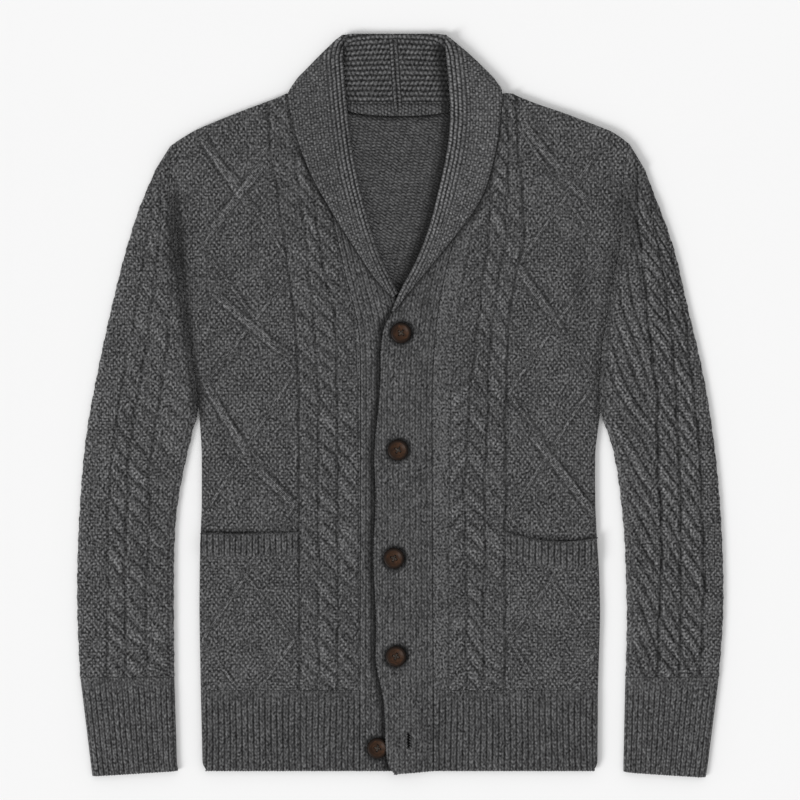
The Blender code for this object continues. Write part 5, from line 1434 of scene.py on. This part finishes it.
# ---------------------------------------------------------------- buttons
# Profile of a button from the middle of its face to that of its back: shares of radius and thickness.
BUTTON_PROFILE = ((0.0, 0.50), (0.20, 0.50), (0.42, 0.53), (0.56, 0.62), (0.66, 0.86), (0.73, 0.98), (0.80, 1.0),
                  (0.88, 0.97), (0.95, 0.86), (0.99, 0.68), (1.0, 0.50), (0.975, 0.28), (0.90, 0.08),
                  (0.80, 0.0), (0.40, 0.0), (0.0, 0.0))
DRILL_PROFILE = ((0.0, 6.0), (0.95, 6.0), (0.95, -2.0), (0.0, -2.0))
DRILLS = ((-2.1, -2.1), (-2.1, 2.1), (2.1, -2.1), (2.1, 2.1))
THREAD_RADIUS, THREAD_SIDES, THREAD_STEPS = 0.38, 6, 13


def button_material():
    made, w, shader = principled("horn_button")
    brown = tuple(bpy.context.scene.cardigan_trim.button_brown)
    spot = w.node("ShaderNodeTexCoord").outputs["Object"]
    grain, swirl = w.noise(spot, 260.0, 3.0, 1.2), w.noise(spot, 90.0, 2.0, 3.0)
    share = w.math("MULTIPLY_ADD", swirl, 0.7, w.math("MULTIPLY", grain, 0.3))
    dark, light = tuple(0.45 * c for c in brown), (1.9 * brown[0], 1.7 * brown[1], 1.6 * brown[2])
    horn = w.colours(share, ((0.3, dark), (0.55, brown), (0.75, light)))
    # Painted shade: the rim attribute darkens the rounded rim, the dish's wall and a ring through the holes.
    rim = w.node("ShaderNodeAttribute", attribute_name="rim").outputs["Fac"]
    w.put(shader["Base Color"], w.blend("MIX", rim, horn, (*(0.2 * c for c in brown), 1)))
    w.put(shader["Roughness"], w.math("MULTIPLY_ADD", grain, 0.25, 0.36))
    w.put(shader["Specular IOR Level"], 0.16)
    w.put(shader["Normal"], w.bump(grain, 0.0001, 0.5))
    return made


def turned(profile, steps, x=0.0, y=0.0):
    """Points in metres and faces of a closed profile (radius, height) turned about an upright axis."""
    points, faces, rings = [], [], []
    for radius, height in profile:
        if radius < 1e-6:
            rings.append([len(points)] * steps)
            points.append((x * MM, y * MM, height * MM))
            continue
        rings.append(list(range(len(points), len(points) + steps)))
        points += [((x + radius * math.cos(a)) * MM, (y + radius * math.sin(a)) * MM, height * MM)
                   for a in (TURN * i / steps for i in range(steps))]
    for upper, lower in zip(rings, rings[1:]):
        for i in range(steps):
            j = (i + 1) % steps
            face = [upper[i], lower[i], lower[j], upper[j]]
            faces.append([v for n, v in enumerate(face) if v != face[n - 1]])
    return points, faces


class CARDIGAN_OT_buttons(bpy.types.Operator):
    """Turn the five buttons, drill them and sew them on"""
    bl_idname = "cardigan.sew_buttons"
    bl_label = "Sew Buttons"

    def execute(self, context):
        profile = [(share * BUTTON_RADIUS, height * BUTTON_THICKNESS) for share, height in BUTTON_PROFILE]
        material = button_material()
        thread = wool("sewing_thread", (0.03, 0.024, 0.019), (0.13, 0.105, 0.085), 0.0002)
        for number, (x, y) in enumerate(BUTTONS, 1):
            level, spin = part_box(f"button_{number}")[0][2], 0.12 * number
            obj = plain_object(f"button_{number}_turned", *turned(profile, 48), material)
            obj.data = self.drilled(obj, context)
            place = np.empty(len(obj.data.vertices) * 3)
            obj.data.vertices.foreach_get("co", place)
            place = place.reshape(-1, 3)
            # Where the painted shade of the rim attribute falls: the rounded rim, the dish's wall and a ring through
            # the holes.
            out = np.hypot(*place[:, :2].T) / (BUTTON_RADIUS * MM)
            rim = np.maximum(ease((out - 0.62) / 0.24), 0.3 * np.exp(-((out - 0.5) / 0.07) ** 2))
            point_values(obj.data, "rim", np.maximum(rim, 0.75 * np.exp(-((out - 0.27) / 0.1) ** 2)))
            turn = np.array([[math.cos(spin), -math.sin(spin), 0], [math.sin(spin), math.cos(spin), 0], [0, 0, 1]])
            obj.data.vertices.foreach_set("co", (place @ turn.T + [x * MM, y * MM, level]).ravel())
            obj.data.materials.clear()
            obj.data.materials.append(material)
            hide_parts(f"button_{number}")
            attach(obj, "root")
            self.threads(number, level, spin, thread)
        return {"FINISHED"}

    def drilled(self, obj, context):
        """The button's mesh with its four holes cut."""
        cutters = []
        for x, y in DRILLS:
            cutters.append(plain_object("drill", *turned(DRILL_PROFILE, 12, x, y), obj.data.materials[0]))
            cut = obj.modifiers.new("hole", "BOOLEAN")
            cut.operation, cut.object, cut.solver = "DIFFERENCE", cutters[-1], "EXACT"
        mesh = bpy.data.meshes.new_from_object(obj.evaluated_get(context.evaluated_depsgraph_get()))
        obj.modifiers.clear()
        for cutter in cutters:
            bpy.data.objects.remove(cutter, do_unlink=True)
        return mesh

    def threads(self, number, level, spin, material):
        """Two crossed bars of thread, each over a pair of holes."""
        points, faces = [], []
        for side in (-1, 1):
            turn = spin + side * math.pi / 4
            ahead, across = np.array([math.cos(turn), math.sin(turn)]), np.array([-math.sin(turn), math.cos(turn)])
            for strand in (-0.35, 0.35):
                first = len(points)
                for s in np.linspace(-1, 1, THREAD_STEPS):
                    spot = BUTTONS[number - 1] + 3.2 * s * ahead + strand * across
                    height = 1.9 + (0.8 + 0.2 * side) * math.cos(s * math.pi / 2) - (0.9 if abs(s) > 0.9 else 0.0)
                    for a in (TURN * i / THREAD_SIDES for i in range(THREAD_SIDES)):
                        px, py = spot + THREAD_RADIUS * math.cos(a) * across
                        points.append((px * MM, py * MM, level + (height + THREAD_RADIUS * math.sin(a)) * MM))
                ring = np.arange(THREAD_SIDES)
                for start in first + THREAD_SIDES * np.arange(THREAD_STEPS - 1):
                    here, after = start + ring, start + np.roll(ring, -1)
                    faces += np.stack([here, after, after + THREAD_SIDES, here + THREAD_SIDES], axis=-1).tolist()
                faces += [(first + ring[::-1]).tolist(), (len(points) - THREAD_SIDES + ring).tolist()]
        obj = plain_object(f"button_{number}_thread", points, faces, material)
        obj.data.uv_layers.new(name="knit")
        point_values(obj.data, "shade", np.ones(len(points)))
        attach(obj, "root")


# ---------------------------------------------------------------- cast-off edges
def chain_nodes():
    """Geometry nodes that lay a chain of small stitches along a line."""
    tree = bpy.data.node_groups.new("edge chain", "GeometryNodeTree")
    face = tree.interface
    face.new_socket("Line", in_out="INPUT", socket_type="NodeSocketGeometry")
    for label, default in (("Stitch length", 0.0026), ("Thickness", 0.0019), ("Slant", 0.45)):
        face.new_socket(label, in_out="INPUT", socket_type="NodeSocketFloat").default_value = default
    face.new_socket("Seed", in_out="INPUT", socket_type="NodeSocketInt").default_value = 1
    face.new_socket("Wool", in_out="INPUT", socket_type="NodeSocketMaterial")
    face.new_socket("Chain", in_out="OUTPUT", socket_type="NodeSocketGeometry")
    w = Wiring(tree)
    given, out = w.node("NodeGroupInput").outputs, w.node("NodeGroupOutput").inputs
    curve = w.node("GeometryNodeMeshToCurve", {"Mesh": given["Line"]}).outputs[0]
    points = w.node("GeometryNodeResampleCurve", {"Curve": curve, "Length": given["Stitch length"]},
                    mode="LENGTH").outputs[0]
    bead = w.node("GeometryNodeMeshUVSphere", {"Segments": 8, "Rings": 5, "Radius": 0.5}).outputs["Mesh"]
    bead = w.node("GeometryNodeSetShadeSmooth", {"Geometry": bead}).outputs[0]
    tangent = w.node("GeometryNodeInputTangent").outputs[0]
    aimed = w.node("FunctionNodeAlignRotationToVector", {"Vector": tangent}, axis="X").outputs[0]
    tip = w.node("FunctionNodeEulerToRotation", {0: w.xyz(0.0, 0.0, given["Slant"])}).outputs[0]
    slanted = w.node("FunctionNodeRotateRotation", {0: aimed, 1: tip}, rotation_space="LOCAL").outputs[0]
    uneven = w.node("FunctionNodeRandomValue", {2: 0.82, 3: 1.15, "Seed": given["Seed"]}, data_type="FLOAT")
    size = w.xyz(w.math("MULTIPLY", given["Stitch length"], 1.3),
                 w.math("MULTIPLY", given["Thickness"], uneven.outputs[1]),
                 w.math("MULTIPLY", given["Thickness"], 0.95))
    laid = w.node("GeometryNodeInstanceOnPoints", {"Points": points, "Instance": bead, "Rotation": slanted,
                                                   "Scale": size}).outputs[0]
    real = w.node("GeometryNodeRealizeInstances", {"Geometry": laid}).outputs[0]
    w.put(out[0], w.node("GeometryNodeSetMaterial", {"Geometry": real, "Material": given["Wool"]}).outputs[0])
    return tree


def settle_nodes(obj, tree, values):
    """Runs a tree on an object, with inputs by name, and keeps the plain mesh it makes."""
    modifier = obj.modifiers.new("nodes", "NODES")
    modifier.node_group = tree
    for item in tree.interface.items_tree:
        if item.item_type == "SOCKET" and item.in_out == "INPUT" and item.name in values:
            modifier[item.identifier] = values[item.name]
    made = bpy.data.meshes.new_from_object(obj.evaluated_get(bpy.context.evaluated_depsgraph_get()))
    obj.modifiers.clear()
    obj.data = made


def chain(tree, name, line, height, thickness=1.0, slant=0.45, closed=False):
    """A cast-off edge along a line, at a height over it."""
    trim = bpy.context.scene.cardigan_trim
    points = np.column_stack([line, np.broadcast_to(height, len(line))]) * MM
    mesh = bpy.data.meshes.new(name)
    edges = [(i, i + 1) for i in range(len(line) - 1)] + ([(len(line) - 1, 0)] if closed else [])
    mesh.from_pydata(points.tolist(), edges, [])
    obj = placed_object(name, mesh)
    settle_nodes(obj, tree, {"Stitch length": trim.edge_stitch, "Thickness": trim.edge_thickness * thickness,
                             "Slant": slant, "Seed": trim.seed, "Wool": wool_of("rib")})
    mesh = obj.data
    layer = mesh.uv_layers.get("knit") or mesh.uv_layers.new(name="knit")
    corners = np.empty(len(mesh.loops), np.int32)
    mesh.loops.foreach_get("vertex_index", corners)
    places = np.empty(len(mesh.vertices) * 3)
    mesh.vertices.foreach_get("co", places)
    places = places.reshape(-1, 3)[corners][:, :2] / (0.5 * knit_settings().wale)
    layer.uv.foreach_set("vector", places.astype(np.float32).ravel())
    point_values(mesh, "shade", np.ones(len(mesh.vertices)))
    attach(obj, "root")


def edge_of(name, first=0, above=-1.0):
    """A piece's outline from one of its corners to the next."""
    return softened(stretch_of(outline(name, above), *CORNERS[name][first:first + 2]))


class CARDIGAN_OT_edges(bpy.types.Operator):
    """Lay the cast-off chains along the free edges, and overcast the buttonhole"""
    bl_idname = "cardigan.cast_off_edges"
    bl_label = "Cast Off Edges"

    def execute(self, context):
        tree = chain_nodes()
        for side in SIDES:
            chain(tree, f"hem_{side}_edge", edge_of(f"hem_{side}") + [0, 0.5], 5.0)
            line = edge_of(f"cuff_{side}", above=CUFF_LEVEL)[3:-3]
            away = np.clip(np.minimum(line[:, 0] - line[0, 0], line[-1, 0] - line[:, 0]) / 9.0, 0, 1)
            chain(tree, f"cuff_{side}_edge", line + [0, 0.5], 3.6 + 1.8 * np.sqrt(1 - (1 - away) ** 2))
            chain(tree, f"pocket_{side}_edge", edge_of(f"pocket_{side}", 2) + [0, -0.6], 8.4, 0.8)
        over = lambda line: over_level(line) + button_lift(line)
        band = softened(stretch_of(outline("band_left"), (-10.5, 91), CORNERS["band_left"][0]))
        chain(tree, "band_left_edge", band + [0.6, 0], over(band) - 1.7, 0.9)
        band = edge_of("band_left")
        chain(tree, "band_left_foot", band + [0, 0.5], over(band) - 1.3)
        band = edge_of("band_right")
        chain(tree, "band_right_foot", band[band[:, 0] < -6] + [0, 0.5], 5.4)
        slot = buttonhole(0.5)
        chain(tree, "buttonhole_edge", slot, over_level(slot) + 0.15, 0.8, slant=1.2, closed=True)
        return {"FINISHED"}


# ---------------------------------------------------------------- floor, light and camera
# Each light's bearing and height in degrees, its share of the key's spread and of the key's power.
LIGHTS = (("key", 213.0, 34.0, 1.0, 1.1), ("fill", 35.0, 60.0, 2.3, 0.12))
FLOOR_HALF = 6.0            # metres
PICTURE_WIDTH = 0.8         # metres across the picture at the level of the knit
KNIT_LEVEL = 0.006
SENSOR = 36.0


class CARDIGAN_OT_stage(bpy.types.Operator):
    """Lay the pale floor, hang the soft lights and set the camera over the cardigan"""
    bl_idname = "cardigan.set_stage"
    bl_label = "Set Stage"

    def execute(self, context):
        stage = context.scene.cardigan_stage
        made, w, shader = principled("pale_floor")
        mottle = w.noise(w.node("ShaderNodeTexCoord").outputs["Object"], 3.0, 2.0)
        pale = tuple(stage.floor)
        w.put(shader["Base Color"], w.colours(mottle, ((0.3, pale), (0.7, tuple(0.995 * c for c in pale)))))
        w.put(shader["Roughness"], 0.9)
        w.put(shader["Specular IOR Level"], 0.1)
        corners = [(x * FLOOR_HALF, y * FLOOR_HALF, 0) for x, y in ((-1, -1), (1, -1), (1, 1), (-1, 1))]
        plain_object("floor", corners, [(0, 1, 2, 3)], made, smooth=False)
        world = bpy.data.worlds.new("studio")
        context.scene.world = world
        world.use_nodes = True
        sky = world.node_tree.nodes["Background"].inputs
        sky["Color"].default_value = (1, 1, 1, 1)
        sky["Strength"].default_value = stage.sky
        for name, bearing, height, spread, power in LIGHTS:
            light = bpy.data.lights.new(name, "SUN")
            light.angle, light.energy = spread * stage.spread, power * stage.key
            lamp = placed_object(name, light)
            a, e = math.radians(bearing), math.radians(height)
            aim = Vector((math.cos(a) * math.cos(e), math.sin(a) * math.cos(e), math.sin(e)))
            lamp.location = 3.0 * aim
            lamp.rotation_euler = aim.to_track_quat("Z", "Y").to_euler()
        camera = placed_object("camera", bpy.data.cameras.new("camera"))
        camera.location = (-0.0015, 0.006, stage.distance)
        camera.data.sensor_width = SENSOR
        camera.data.lens = SENSOR * (stage.distance - KNIT_LEVEL) / PICTURE_WIDTH
        camera.data.clip_end = 50.0
        context.scene.camera = camera
        context.scene.view_settings.view_transform = "Standard"
        return {"FINISHED"}


STEPS = (CARDIGAN_OT_back, CARDIGAN_OT_fronts, CARDIGAN_OT_hems, CARDIGAN_OT_sleeves, CARDIGAN_OT_cuffs,
         CARDIGAN_OT_bands, CARDIGAN_OT_lapels, CARDIGAN_OT_collars, CARDIGAN_OT_pockets, CARDIGAN_OT_edges,
         CARDIGAN_OT_buttons, CARDIGAN_OT_stage)


class CARDIGAN_PT_panel(bpy.types.Panel):
    """Lists the cardigan's steps and the sizes they use"""
    bl_idname = "CARDIGAN_PT_panel"
    bl_label = "Cable Knit Cardigan"
    bl_space_type = "VIEW_3D"
    bl_region_type = "UI"
    bl_category = "Cardigan"

    def draw(self, context):
        for group in (context.scene.cardigan_knit, context.scene.cardigan_trim, context.scene.cardigan_stage):
            box = self.layout.box()
            for name in group.__annotations__:
                box.prop(group, name)
        for step in STEPS:
            self.layout.operator(step.bl_idname)


GROUPS = (("cardigan_knit", CardiganKnit), ("cardigan_trim", CardiganTrim), ("cardigan_stage", CardiganStage))


def register():
    for name, group in GROUPS:
        bpy.utils.register_class(group)
        setattr(bpy.types.Scene, name, PointerProperty(type=group))
    for step in STEPS + (CARDIGAN_PT_panel,):
        bpy.utils.register_class(step)


def unregister():
    for step in reversed(STEPS + (CARDIGAN_PT_panel,)):
        bpy.utils.unregister_class(step)
    for name, group in reversed(GROUPS):
        delattr(bpy.types.Scene, name)
        bpy.utils.unregister_class(group)


def main():
    register()
    for step in STEPS:
        family, name = step.bl_idname.split(".")
        getattr(getattr(bpy.ops, family), name)()


if __name__ == "__main__":
    main()
